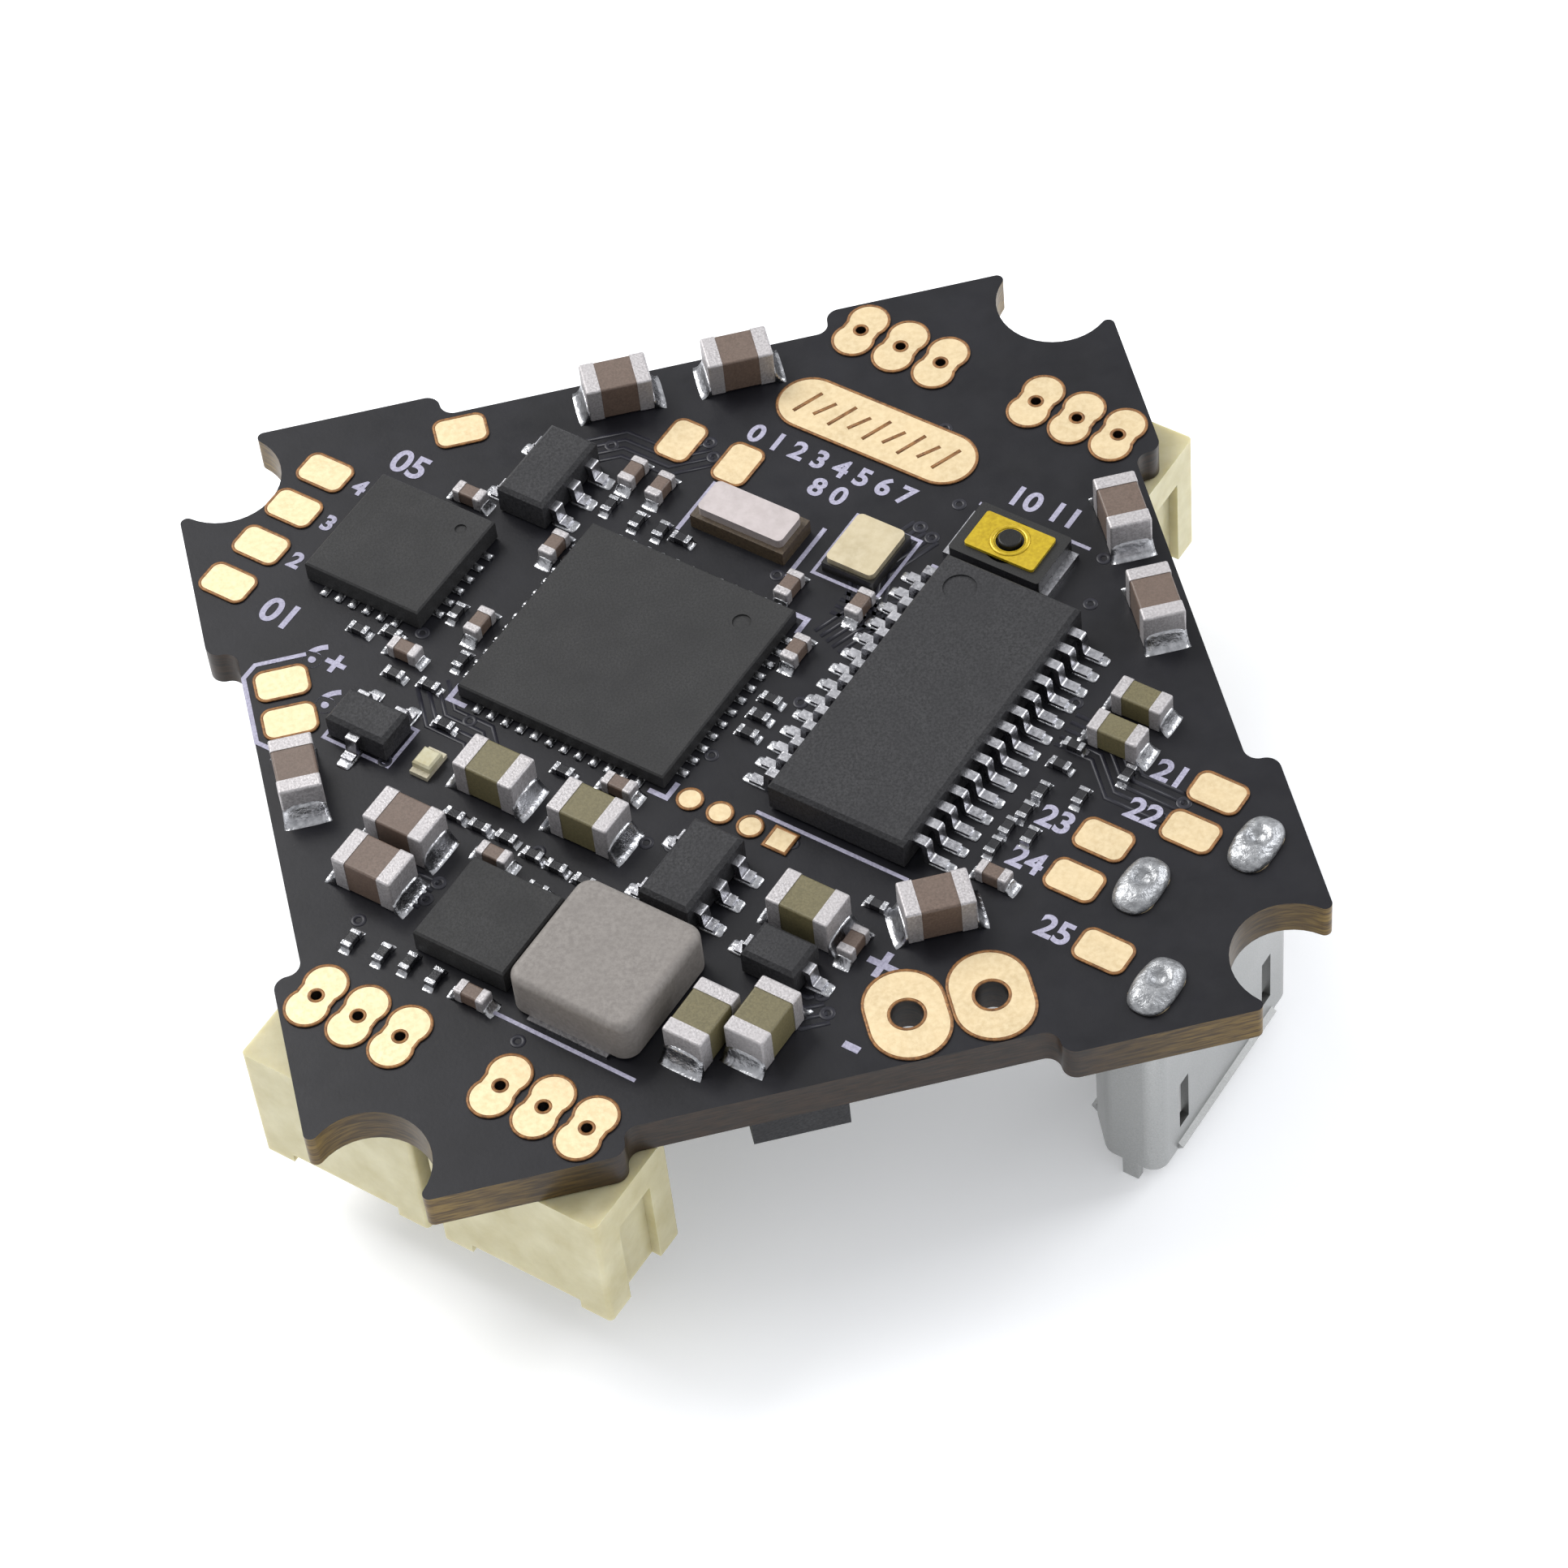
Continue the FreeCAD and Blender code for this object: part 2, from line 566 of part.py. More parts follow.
def flat_chip(body_label, land_label, prefix, per_side, places, dot=None, sides=4):
    """A flat moulded chip raised by its lands, and the lands under its edges."""
    side = prefix + "_side"
    height = prefix + "_height - land_height"
    chip = block(body_label + "_shape", side, side, height, prefix + "_edge", "land_height")
    if dot is not None:
        corner = "%s / 2 - %d * %s" % (side, DOT_INSET, dot)
        dimple(chip, dot, corner, corner, "land_height")
    land = block(land_label + "_shape", "land_inside + land_outside", "land_width", "land_height")
    middle = size(side) / 2 + (size("land_outside") - size("land_inside")) / 2
    lands = []
    for quarter in range(sides):
        for across in in_a_row(per_side, size(prefix + "_pitch")):
            lands.append(turned(quarter * 360 / sides, middle, across))
    copies(body_label, [(chip, places)])
    copies(land_label, [(land, [place.multiply(own) for place in places for own in lands])])


# Chips with gull-wing leads.

def lead_shape(label, prefix):
    """One bent lead that leaves a chip's side along X and stands on its foot."""
    reach = prefix + "_lead_reach"
    foot = prefix + "_lead_foot"
    rise = prefix + "_lead_rise"
    thick = "lead_thickness"
    knee = "%s - %s - lead_thickness" % (reach, foot)
    body = new_body(label)
    profile = new_sketch(body, "profile", plane="XZ_Plane")
    outline(profile, [
        ("0", "%s + %s" % (rise, thick)), ("0", rise), (knee, rise), (knee + " + lead_slope", "0"),
        (reach, "0"), (reach, thick), (knee + " + lead_slope + " + thick, thick),
        (knee + " + " + thick, "%s + %s" % (rise, thick)),
    ])
    pad(body, profile, prefix + "_lead_width", both_ways=True)
    dress(body, "Fillet", bend_within(size(reach)), prefix + "_lead_bend")
    return body


def bend_within(reach):
    """Test for an edge that runs across a lead between its root and its toe."""
    return lambda box: box.XLength < TINY and box.ZLength < TINY and TINY < box.XMin < reach - TINY


def moulded_chip(label, prefix, standoff):
    """A moulded chip body that stands off the board, its top rim chamfered."""
    length = prefix + "_length"
    width = prefix + "_width"
    edge = "display_edge" if prefix == "display" else "small_edge"
    return block(label, length, width, prefix + "_height", edge, standoff)


def side_leads(prefix, along, far_side=False):
    """Places of leads along one long side of a chip, or along its far side."""
    out = size(prefix + "_width") / 2
    face = turned(180 if far_side else 0)
    outward = FreeCAD.Rotation(90, 0, 0)
    return [face.multiply(FreeCAD.Placement(FreeCAD.Vector(x, out, 0), outward)) for x in along]


def make_display_chip():
    """The on-screen display chip and the leads along its two long sides."""
    chip = moulded_chip("display_chip_body", "display", "display_standoff")
    mark_x = "display_length / 2 - display_dimple_inset"
    mark_y = "display_width / 2 - display_dimple_inset"
    dimple(chip, "display_dimple", mark_x, mark_y, "pad_thickness")
    chip.Placement = on_board(*DISPLAY_PLACE)
    add_node(chip)
    along = in_a_row(DISPLAY_LEADS, size("display_pitch"))
    places = side_leads("display", along) + side_leads("display", along, far_side=True)
    lead = lead_shape("display_lead_shape", "display")
    copies("display_chip_leads", [(lead, [chip.Placement.multiply(place) for place in places])])


def make_regulators():
    """Two small regulators, with two leads on one side and three on the other."""
    chip = moulded_chip("regulator_shape", "regulator", "small_standoff")
    lead = lead_shape("small_lead_shape", "small")
    pitch = size("regulator_pitch")
    own = side_leads("regulator", (-pitch, pitch))
    own += side_leads("regulator", (-pitch, 0, pitch), far_side=True)
    places = [on_board(*place) for place in REGULATOR_PLACES]
    copies("regulator_bodies", [(chip, places)])
    copies("regulator_leads", [(lead, [place.multiply(at) for place in places for at in own])])
    return lead


def make_transistor(lead):
    """The three-lead transistor."""
    chip = moulded_chip("transistor_body", "transistor", "small_standoff")
    chip.Placement = on_board(*TRANSISTOR_PLACE)
    add_node(chip)
    half = size("transistor_pitch") / 2
    own = side_leads("transistor", (-half, half)) + side_leads("transistor", (0,), far_side=True)
    copies("transistor_leads", [(lead, [chip.Placement.multiply(place) for place in own])])


def make_diodes(lead):
    """A diode on top and a larger one under the near edge, with a lead at each end."""
    bodies = []
    ends = []
    for prefix, place in (("diode", on_board(*DIODE_PLACE)), ("under_diode", under_board(*UNDER_DIODE))):
        bodies.append((moulded_chip(prefix + "_shape", prefix, "small_standoff"), [place]))
        ends += [place.multiply(turned(face, size(prefix + "_length") / 2)) for face in (0, 180)]
    copies("diode_bodies", bodies)
    copies("diode_leads", [(lead, ends)])


# Two-terminal chip parts.

def chip_shapes(label, prefix, rounding):
    """The block and one end cap of a two-terminal part; the cap stands slightly proud."""
    tall = prefix + "_height"
    middle = "%s_length - 2 * %s_end" % (prefix, prefix)
    width = prefix + "_width - 2 * chip_inset"
    core = block(label + "_block_shape", middle, width, tall + " - 2 * chip_inset", None, "chip_inset")
    dress(core, "Fillet", lambda box: box.YLength < TINY and box.ZLength < TINY, rounding)
    cap = new_body(label + "_end_shape")
    sketch = new_sketch(cap, "outline")
    box_outline(sketch, "%s_length / 2 - %s_end" % (prefix, prefix), prefix + "_length / 2",
                "-%s_width / 2" % prefix, prefix + "_width / 2")
    pad(cap, sketch, tall)
    inner = size(prefix + "_length") / 2 - size(prefix + "_end")
    dress(cap, "Fillet", lambda box: box.XMax > inner + TINY, rounding)
    return core, cap


def chip_parts(label, prefix, places, rounding="chip_round"):
    """Two nodes for a family of two-terminal parts: the blocks and their metal ends."""
    core, cap = chip_shapes(label, prefix, rounding)
    both = [place.multiply(turned(face)) for place in places for face in (0, 180)]
    copies(label + "_blocks", [(core, places)])
    copies(label + "_ends", [(cap, both)])


def make_chip_parts():
    """Every capacitor, resistor and shunt."""
    chip_parts("brown_capacitor", "large", [on_board(*place) for place in BROWN_PLACES])
    chip_parts("olive_capacitor", "large", [on_board(*place) for place in OLIVE_PLACES])
    chip_parts("medium_capacitor", "medium", [on_board(*place) for place in MEDIUM_PLACES])
    chip_parts("small_capacitor", "small", [on_board(*place) for place in SMALL_PLACES])
    chip_parts("resistor", "resistor", [on_board(*place) for place in RESISTOR_PLACES], "resistor_round")
    under = [place for spot in UNDER_CAPACITORS for place in quarter_turns(under_board(*spot))]
    chip_parts("underside_capacitor", "small", under)
    chip_parts("current_shunt", "shunt", [under_board(*SHUNT_PLACE)])


# Boot button.

def make_boot_button():
    """Base with a round well, two terminals, snap dome, cover and the plunger that moves."""
    place = on_board(*BUTTON_PLACE)
    between = "button_length - 2 * button_terminal"
    base = block("boot_button_base", between, "button_width", "button_height")
    dress(base, "Fillet", upright, "button_round")
    well = new_sketch(base, "well", offset="button_height")
    circle(well, "button_well_radius")
    pocket(base, well, "button_height - button_floor")
    terminal = block("button_terminal_shape", "button_terminal", "button_terminal_width",
                     "button_terminal_height")
    out = (size("button_length") - size("button_terminal")) / 2
    ends = [place.multiply(turned(face, out)) for face in (0, 180)]
    copies("boot_button_terminals", [(terminal, ends)])
    for body in (base, make_snap_dome(), make_button_cover(), make_plunger()):
        body.Placement = place
        add_node(body)


def make_snap_dome():
    """The thin sprung dome that the plunger presses."""
    dome = new_body("boot_button_dome")
    half = new_sketch(dome, "half_section", plane="XZ_Plane")
    outline(half, [
        ("0", "button_floor + dome_rise"), ("dome_radius / 2", "button_floor + dome_shoulder"),
        ("dome_radius", "button_floor"), ("dome_radius", "button_floor + dome_thickness"),
        ("dome_radius / 2", "button_floor + dome_shoulder + dome_thickness"),
        ("0", "button_floor + dome_rise + dome_thickness"),
    ])
    revolve(dome, half)
    return dome


def revolve(body, sketch):
    """Turn a half section about the Z axis."""
    feature = body.newObject("PartDesign::Revolution", sketch.Label + "_turned")
    feature.Profile = sketch
    axis = [item for item in body.Origin.OriginFeatures if item.Role == "Z_Axis"][0]
    feature.ReferenceAxis = (axis, [""])
    feature.Angle = 360
    doc.recompute()


def make_button_cover():
    """The yellow film over the well, open round the plunger."""
    cover = block("boot_button_cover", "cover_length", "cover_width", "cover_thickness",
                  lift="button_height")
    dress(cover, "Fillet", upright, "button_round")
    opening = new_sketch(cover, "opening", offset="button_height")
    circle(opening, "cover_opening")
    pocket(cover, opening, both_ways=True)
    return cover


def make_plunger():
    """The black plunger: a stem through the cover and a flange that keeps it in."""
    plunger = new_body("boot_button_plunger")
    half = new_sketch(plunger, "half_section", plane="XZ_Plane")
    under = "button_height - button_gap - plunger_flange"
    shoulder = "button_height - button_gap"
    crown = "button_height + cover_thickness + plunger_proud"
    outline(half, [
        ("0", under), ("plunger_flange_radius", under), ("plunger_flange_radius", shoulder),
        ("plunger_radius", shoulder), ("plunger_radius", crown), ("0", crown),
    ])
    revolve(plunger, half)
    dress(plunger, "Fillet", at_height(plunger.Shape.BoundBox.ZMax), "plunger_round")
    return plunger


# Crystals, inductor, status light.

def make_crystal(name, prefix, lid_prefix, place):
    """A crystal: ceramic base with a metal lid."""
    base = block(name + "_base", prefix + "_length", prefix + "_width", prefix + "_height")
    lid = block(name + "_lid", lid_prefix + "_length", lid_prefix + "_width", lid_prefix + "_height",
                lift=prefix + "_height")
    dress(lid, "Fillet", upright, "lid_round")
    for body in (base, lid):
        body.Placement = on_board(*place)
        add_node(body)


def make_inductor():
    """A moulded power inductor between two flat terminals."""
    core = block("inductor_core", "inductor_side", "inductor_side", "inductor_height - inductor_gap",
                 lift="inductor_gap")
    dress(core, "Fillet", upright, "inductor_round")
    dress(core, "Fillet", at_height(core.Shape.BoundBox.ZMax), "inductor_top_round")
    core.Placement = on_board(*INDUCTOR_PLACE)
    add_node(core)
    foot = block("inductor_foot_shape", "inductor_foot", "inductor_foot_width", "inductor_gap")
    out = size("inductor_side") / 2 + size("inductor_foot_proud") - size("inductor_foot") / 2
    ends = [core.Placement.multiply(turned(face, out)) for face in (90, 270)]
    copies("inductor_terminals", [(foot, ends)])


def make_status_light():
    """A tiny light: a flat base with a clear lens on it."""
    base = block("status_light_base", "light_length", "light_width", "light_base_height")
    lens = block("status_light_lens", "light_lens_length", "light_width", "light_lens_height",
                 "light_round", "light_base_height")
    for body in (base, lens):
        body.Placement = on_board(*LIGHT_PLACE)
        add_node(body)


# USB socket, mouth down. Its X is u, its Y is v and its Z is up.

def make_usb_shell():
    """The folded metal shell with legs, flared lip, side tabs and latch slits."""
    shell = new_body("usb_shell")
    skin = new_sketch(shell, "skin", offset="-usb_clearance")
    shell_outline(skin, "0")
    pad(shell, skin, "usb_drop - usb_clearance", downward=True)
    dress(shell, "Fillet", upright, "usb_bend")
    hollow = new_sketch(shell, "hollow", offset="-usb_drop")
    shell_outline(hollow, "usb_wall")
    pocket(shell, hollow, "usb_drop - usb_clearance - usb_wall", upward=True)
    roof = -size("usb_clearance") - size("usb_wall")
    dress(shell, "Fillet", lambda box: upright(box) and box.ZMax < roof + TINY, "usb_bend - usb_wall")
    slits = new_sketch(shell, "slits", plane="YZ_Plane", offset="usb_face - usb_wall / 2")
    low = "usb_slit_end - usb_drop"
    for side in ("-", ""):
        near = "%susb_slit_place - usb_slit_width / 2" % side
        far = "%susb_slit_place + usb_slit_width / 2" % side
        box_outline(slits, near, far, low, low + " + usb_slit_length")
    pocket(shell, slits, "2 * usb_wall", both_ways=True)
    add_lip(shell, "front_lip", "usb_face", "usb_lip_reach")
    add_lip(shell, "back_lip", "usb_face - usb_depth", "-usb_lip_reach")
    add_side_tabs(shell)
    add_legs(shell)
    shell.Placement = on_grid(0, 0, height=0)
    add_node(shell)


def shell_outline(sketch, inset):
    """The shell's section: wide at the face, chamfered towards its back."""
    face = "usb_face - " + inset
    bend = "usb_face - usb_flat"
    back = "usb_face - usb_depth + " + inset
    half = "usb_width / 2 - " + inset
    half_back = "usb_back_width / 2 - %s / 2" % inset
    outline(sketch, [
        (face, half), (bend, half), (back, half_back),
        (back, "-(%s)" % half_back), (bend, "-(%s)" % half), (face, "-(%s)" % half),
    ])


def add_lip(shell, name, face, reach):
    """A flared strip at the rim, leaning away from the mouth."""
    profile = new_sketch(shell, name, plane="XZ_Plane")
    inward = "-" if reach.startswith("usb") else "+"
    root = "%s %s usb_wall" % (face, inward)
    outline(profile, [
        (face, "usb_lip_drop - usb_drop"), (root, "usb_lip_drop - usb_drop"), (root, "-usb_drop"),
        ("%s + %s %s usb_wall" % (face, reach, inward), "-usb_drop - usb_wall / 2"),
        ("%s + %s" % (face, reach), "-usb_drop + usb_wall / 2"),
    ])
    pad(shell, profile, "usb_lip_width", both_ways=True)


def add_side_tabs(shell):
    """The two small tabs that reach below the rim at the sides."""
    tabs = new_sketch(shell, "side_tabs", plane="XZ_Plane")
    half = "usb_tab_width / 2"
    box_outline(tabs, "usb_tab_place - " + half, "usb_tab_place + " + half,
                "-usb_drop - usb_tab_drop", "usb_wall - usb_drop")
    pad(shell, tabs, "usb_width", both_ways=True)
    between = new_sketch(shell, "between_tabs", plane="XZ_Plane")
    box_outline(between, "usb_tab_place - usb_tab_width", "usb_tab_place + usb_tab_width",
                "-usb_drop - 2 * usb_tab_drop", "2 * usb_wall - usb_drop")
    pocket(shell, between, "usb_width - 2 * usb_wall", both_ways=True)


def add_legs(shell):
    """Three legs through the board."""
    legs = new_sketch(shell, "legs", offset="-usb_clearance - usb_wall / 2")
    for u, v in leg_places():
        box_outline(legs, u + " - usb_leg_thickness / 2", u + " + usb_leg_thickness / 2",
                    v + " - usb_leg_width / 2", v + " + usb_leg_width / 2")
    pad(shell, legs, "board_thickness + usb_clearance + usb_wall / 2")


def make_usb_inside():
    """The plastic plug and tongue inside the shell, and the five contacts on the tongue."""
    tongue = new_body("usb_tongue")
    plug = new_sketch(tongue, "plug", offset="-usb_clearance - usb_wall")
    shell_outline(plug, "(usb_wall + usb_clearance)")
    pad(tongue, plug, "usb_plug_depth", downward=True)
    dress(tongue, "Fillet", upright, "usb_bend - usb_wall")
    blade = new_sketch(tongue, "blade", offset="-usb_plug_depth")
    middle = "(usb_face - usb_depth / 2)"
    box_outline(blade, middle + " - tongue_thickness / 2", middle + " + tongue_thickness / 2",
                "-tongue_width / 2", "tongue_width / 2")
    pad(tongue, blade, "tongue_length", downward=True)
    tongue.Placement = on_grid(0, 0, height=0)
    add_node(tongue)
    strip = block("usb_contact_shape", "contact_thickness", "contact_width", "contact_length")
    stand_off = (size("tongue_thickness") + size("contact_thickness")) / 2
    u = size("usb_face") - size("usb_depth") / 2 + stand_off
    low = -size("usb_clearance") - size("usb_wall") - size("usb_plug_depth") - size("contact_length")
    places = [on_grid(u, v, height=low) for v in in_a_row(USB_CONTACTS, size("contact_pitch"))]
    copies("usb_contacts", [(strip, places)])


# Motor sockets, mouth down.

def make_motor_socket(number, along, across):
    """One socket housing: cavity, keying slot in the outer wall and a recess in each end."""
    socket = new_body("motor_socket_%d" % number)
    outside = new_sketch(socket, "outside", offset="-socket_gap")
    rectangle(outside, "socket_length", "socket_width")
    pad(socket, outside, "socket_height - socket_gap", downward=True)
    dress(socket, "Fillet", upright, "socket_round")
    cavity = new_sketch(socket, "cavity", offset="-socket_height")
    inside = "socket_length - 2 * (socket_recess_depth + socket_wall)"
    rectangle(cavity, inside, "socket_width - 2 * socket_wall")
    pocket(socket, cavity, "socket_height - socket_roof", upward=True)
    slot = new_sketch(socket, "keying_slot", offset="-socket_height")
    box_outline(slot, "-socket_slot_width / 2", "socket_slot_width / 2",
                "socket_width / 2 - socket_slot_reach", "socket_width / 2 + overshoot")
    pocket(socket, slot, "socket_slot_depth", upward=True)
    recess = new_sketch(socket, "end_recess", offset="-socket_height")
    edge = "socket_length / 2"
    for side in ("-", ""):
        inner = "%s(%s - socket_recess_depth)" % (side, edge)
        outer = "%s(%s + overshoot)" % (side, edge)
        box_outline(recess, inner, outer, "-socket_recess_width / 2", "socket_recess_width / 2")
    pocket(socket, recess, "socket_recess_drop", upward=True)
    bores = new_sketch(socket, "pin_bores")
    for x in ("-motor_pitch", "0", "motor_pitch"):
        circle(bores, "pin_radius", x, "motor_row - socket_across")
    pocket(socket, bores)
    socket.Placement = on_grid(along, across, 0 if across > 0 else 180, height=0)
    add_node(socket)


def make_motor_sockets():
    """Four sockets in two pairs, and the three round pins of each."""
    pairs = [(group, side) for side in (-1, 1) for group in (-1, 1)]
    for number, (group, side) in enumerate(pairs, start=1):
        make_motor_socket(number, group * size("socket_along"), side * size("socket_across"))
    pin = new_body("motor_pin_shape")
    section = new_sketch(pin, "section", offset="-pin_below")
    circle(section, "pin_radius")
    pad(pin, section, "pin_below + pin_above")
    places = []
    for group, side, place in motor_places():
        u = group * size("socket_along") + place * size("motor_pitch")
        places.append(on_grid(u, side * size("motor_row"), height=0))
    copies("motor_socket_pins", [(pin, places)])


def make_flat_chips():
    """Every flat chip, on both faces."""
    micro = [on_board(*MICRO_PLACE)]
    gyro = [on_board(*GYRO_PLACE)]
    converter = [on_board(*CONVERTER_PLACE)]
    drivers = quarter_turns(under_board(*DRIVER_PLACE))
    power = [place for spot in POWER_PLACES for place in quarter_turns(under_board(*spot))]
    flat_chip("microcontroller_body", "microcontroller_lands", "micro", MICRO_LANDS, micro, "micro_dot")
    flat_chip("gyro_body", "gyro_lands", "gyro", GYRO_LANDS, gyro, "gyro_dot")
    flat_chip("converter_body", "converter_lands", "converter", CONVERTER_LANDS, converter, sides=2)
    flat_chip("motor_driver_bodies", "motor_driver_lands", "driver", DRIVER_LANDS, drivers)
    flat_chip("power_transistor_bodies", "power_transistor_lands", "power", POWER_LANDS, power, sides=2)


def export_nodes():
    """Check every object, then write each node's file."""
    doc.recompute()
    for item in doc.Objects:
        if "Invalid" in item.State or "Error" in item.State:
            raise RuntimeError(item.Label + " has an error")
    os.makedirs("parts", exist_ok=True)
    for node in nodes:
        if node.Shape.isNull() or not node.Shape.isValid():
            raise RuntimeError(node.Label + " has no valid shape")
        node.Shape.exportStep("parts/%s.step" % node.Label)
        box = node.Shape.BoundBox
        reach = (box.XMin, box.XMax, box.YMin, box.YMax, box.ZMin, box.ZMax)
        print(node.Label, len(node.Shape.Solids), [round(value, 2) for value in reach])


make_board()
make_signal_pads()
make_motor_pads()
make_battery_pads()
make_test_pads()
make_copper_patch()
make_leg_pads()
make_flat_chips()
make_display_chip()
small_lead = make_regulators()
make_transistor(small_lead)
make_diodes(small_lead)
make_chip_parts()
make_boot_button()
make_crystal("main_crystal", "main_crystal", "main_lid", MAIN_CRYSTAL_PLACE)
make_crystal("display_crystal", "small_crystal", "small_lid", SMALL_CRYSTAL_PLACE)
make_inductor()
make_status_light()
make_usb_shell()
make_usb_inside()
make_motor_sockets()
export_nodes()
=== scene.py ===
import math
import random

import bmesh
import bpy
from mathutils import Matrix, Vector
from mathutils.noise import noise as noise_at


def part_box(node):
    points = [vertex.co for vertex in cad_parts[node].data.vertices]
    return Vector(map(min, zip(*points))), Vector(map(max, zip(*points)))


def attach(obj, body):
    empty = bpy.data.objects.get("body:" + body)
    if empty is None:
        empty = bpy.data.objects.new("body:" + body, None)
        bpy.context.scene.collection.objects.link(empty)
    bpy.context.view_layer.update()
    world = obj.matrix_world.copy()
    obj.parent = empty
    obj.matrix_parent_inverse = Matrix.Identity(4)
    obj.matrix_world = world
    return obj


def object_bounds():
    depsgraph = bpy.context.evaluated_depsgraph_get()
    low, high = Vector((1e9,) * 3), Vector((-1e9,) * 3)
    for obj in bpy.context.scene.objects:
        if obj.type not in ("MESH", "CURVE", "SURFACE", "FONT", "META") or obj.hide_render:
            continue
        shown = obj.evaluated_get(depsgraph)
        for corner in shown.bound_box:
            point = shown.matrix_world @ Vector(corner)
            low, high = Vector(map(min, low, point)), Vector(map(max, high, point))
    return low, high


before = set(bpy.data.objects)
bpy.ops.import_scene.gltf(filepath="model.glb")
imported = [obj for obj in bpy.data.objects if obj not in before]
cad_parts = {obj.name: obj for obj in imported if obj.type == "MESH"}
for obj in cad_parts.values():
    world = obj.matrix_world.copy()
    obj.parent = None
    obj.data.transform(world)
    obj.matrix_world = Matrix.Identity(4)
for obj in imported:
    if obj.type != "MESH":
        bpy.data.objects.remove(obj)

CAD_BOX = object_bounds()

# Levels and directions, in metres, from the CAD parts of model.glb.
MM = 0.001
DIAGONAL = math.sqrt(0.5)
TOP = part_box("circuit_board")[1][2]
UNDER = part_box("circuit_board")[0][2]
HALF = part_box("circuit_board")[1][0]
PAD_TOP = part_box("signal_pads")[1][2]
COVER_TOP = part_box("boot_button_cover")[1][2]
LOWEST = CAD_BOX[0][2]
ALONG_U = Vector((DIAGONAL, -DIAGONAL, 0))
ALONG_V = Vector((DIAGONAL, DIAGONAL, 0))
UP = Vector((0, 0, 1))

# Print, traces, vias, the marks on the pads, the painted shade round the pads' edges and the ring in the
# button's film.
INK = 0.014 * MM
PRINT_SPREAD = 0.03 * MM
TRACE_WIDTH = 0.13 * MM
VIA_HOLE = 0.09 * MM
VIA_RADIUS = 0.23 * MM
END_VIA_RADIUS = 0.24 * MM
VIA_HEIGHT = 0.02 * MM
VIA_TRIES = 46
VIA_SPREAD = 0.86 * HALF
VIA_TO_PRINT = 2.4 * MM
VIA_TO_CORNERS = 1.3 * HALF
PAD_EDGE_SHADE_WIDTH = 0.085 * MM
BAR_COUNT = 9
BAR_WIDTH = 0.12 * MM
FILM_RING_INNER = 0.44 * MM
FILM_RING_OUTER = 0.62 * MM
FILM_RING_HEIGHT = 0.035 * MM

# Limits for telling shapes apart.
SAME_PLACE = 0.001 * MM
NO_HEIGHT = 1e-9
SHARPEST_CORNER = 0.4
LAND_LENGTH_LEAST = 0.5 * MM
LAND_WIDTH_MOST = 0.3 * MM

random.seed(5)


# Places and the CAD meshes.

def grid(u, v, z=0.0):
    """A point from millimetres on the chips' grid, turned 45 degrees, with u towards the USB socket."""
    return Vector(((u + v) * DIAGONAL * MM, (v - u) * DIAGONAL * MM, z))


def welded(node):
    """A copy of a CAD node's mesh with its faces joined along their edges."""
    work = bmesh.new()
    work.from_mesh(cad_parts[node].data)
    bmesh.ops.remove_doubles(work, verts=work.verts, dist=SAME_PLACE)
    return work


def islands(node):
    """The separate solids of a CAD node, each as a list of its points."""
    work = welded(node)
    left = set(work.verts)
    found = []
    while left:
        stack = [left.pop()]
        points = []
        while stack:
            vert = stack.pop()
            points.append(vert.co.copy())
            for edge in vert.link_edges:
                other = edge.other_vert(vert)
                if other in left:
                    left.remove(other)
                    stack.append(other)
        found.append(points)
    work.free()
    found.sort(key=lambda points: tuple(round(value, 7) for value in centre(points)))
    return found


def centre(points):
    """Middle of the points' box."""
    low = [min(point[axis] for point in points) for axis in range(3)]
    high = [max(point[axis] for point in points) for axis in range(3)]
    return Vector([(a + b) / 2 for a, b in zip(low, high)])


def reach(points, direction):
    """How far the points spread along a direction, from lowest to highest."""
    along = [point.dot(direction) for point in points]
    return min(along), max(along)


def top_loops(node):
    """The closed outlines of a flat node's upper faces, round its holes as well."""
    work = welded(node)
    work.normal_update()
    rim = {}
    for edge in work.edges:
        upward = [face for face in edge.link_faces if face.normal.z > 0.9]
        if len(edge.link_faces) == 2 and len(upward) == 1:
            rim[edge.index] = edge
    at_vert = {}
    for edge in rim.values():
        for vert in edge.verts:
            at_vert.setdefault(vert.index, []).append(edge.index)
    loops = []
    while rim:
        _, edge = rim.popitem()
        start, here = edge.verts
        loop = [start.co.copy()]
        while here.index != start.index:
            loop.append(here.co.copy())
            following = [number for number in at_vert[here.index] if number in rim]
            here = rim.pop(following[0]).other_vert(here)
        loops.append(loop)
    work.free()
    return loops


def eight_ways():
    """Flat directions every 45 degrees, along which every lead and land lies."""
    angles = [n * math.pi / 4 for n in range(8)]
    return [Vector((math.cos(angle), math.sin(angle), 0)) for angle in angles]


def square_across(way):
    """The flat direction a quarter turn to the left of another."""
    return Vector((-way.y, way.x, 0))


def frame_round(points, along, margin):
    """Corners of a rectangle round some points, a margin outside them."""
    across = square_across(along)
    first, last = reach(points, along)
    left, right = reach(points, across)
    sides = ((first - margin, left - margin), (last + margin, left - margin),
             (last + margin, right + margin), (first - margin, right + margin))
    return [along * a + across * b for a, b in sides]


# Mesh building.

def piece(name, work, material, smooth=True):
    """Turn a bmesh into an object that rides on the board and has the given material."""
    mesh = bpy.data.meshes.new(name)
    bmesh.ops.recalc_face_normals(work, faces=work.faces)
    work.to_mesh(mesh)
    work.free()
    mesh.materials.append(material)
    for polygon in mesh.polygons:
        polygon.use_smooth = smooth
    thing = bpy.data.objects.new(name, mesh)
    bpy.context.collection.objects.link(thing)
    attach(thing, "board")
    return thing


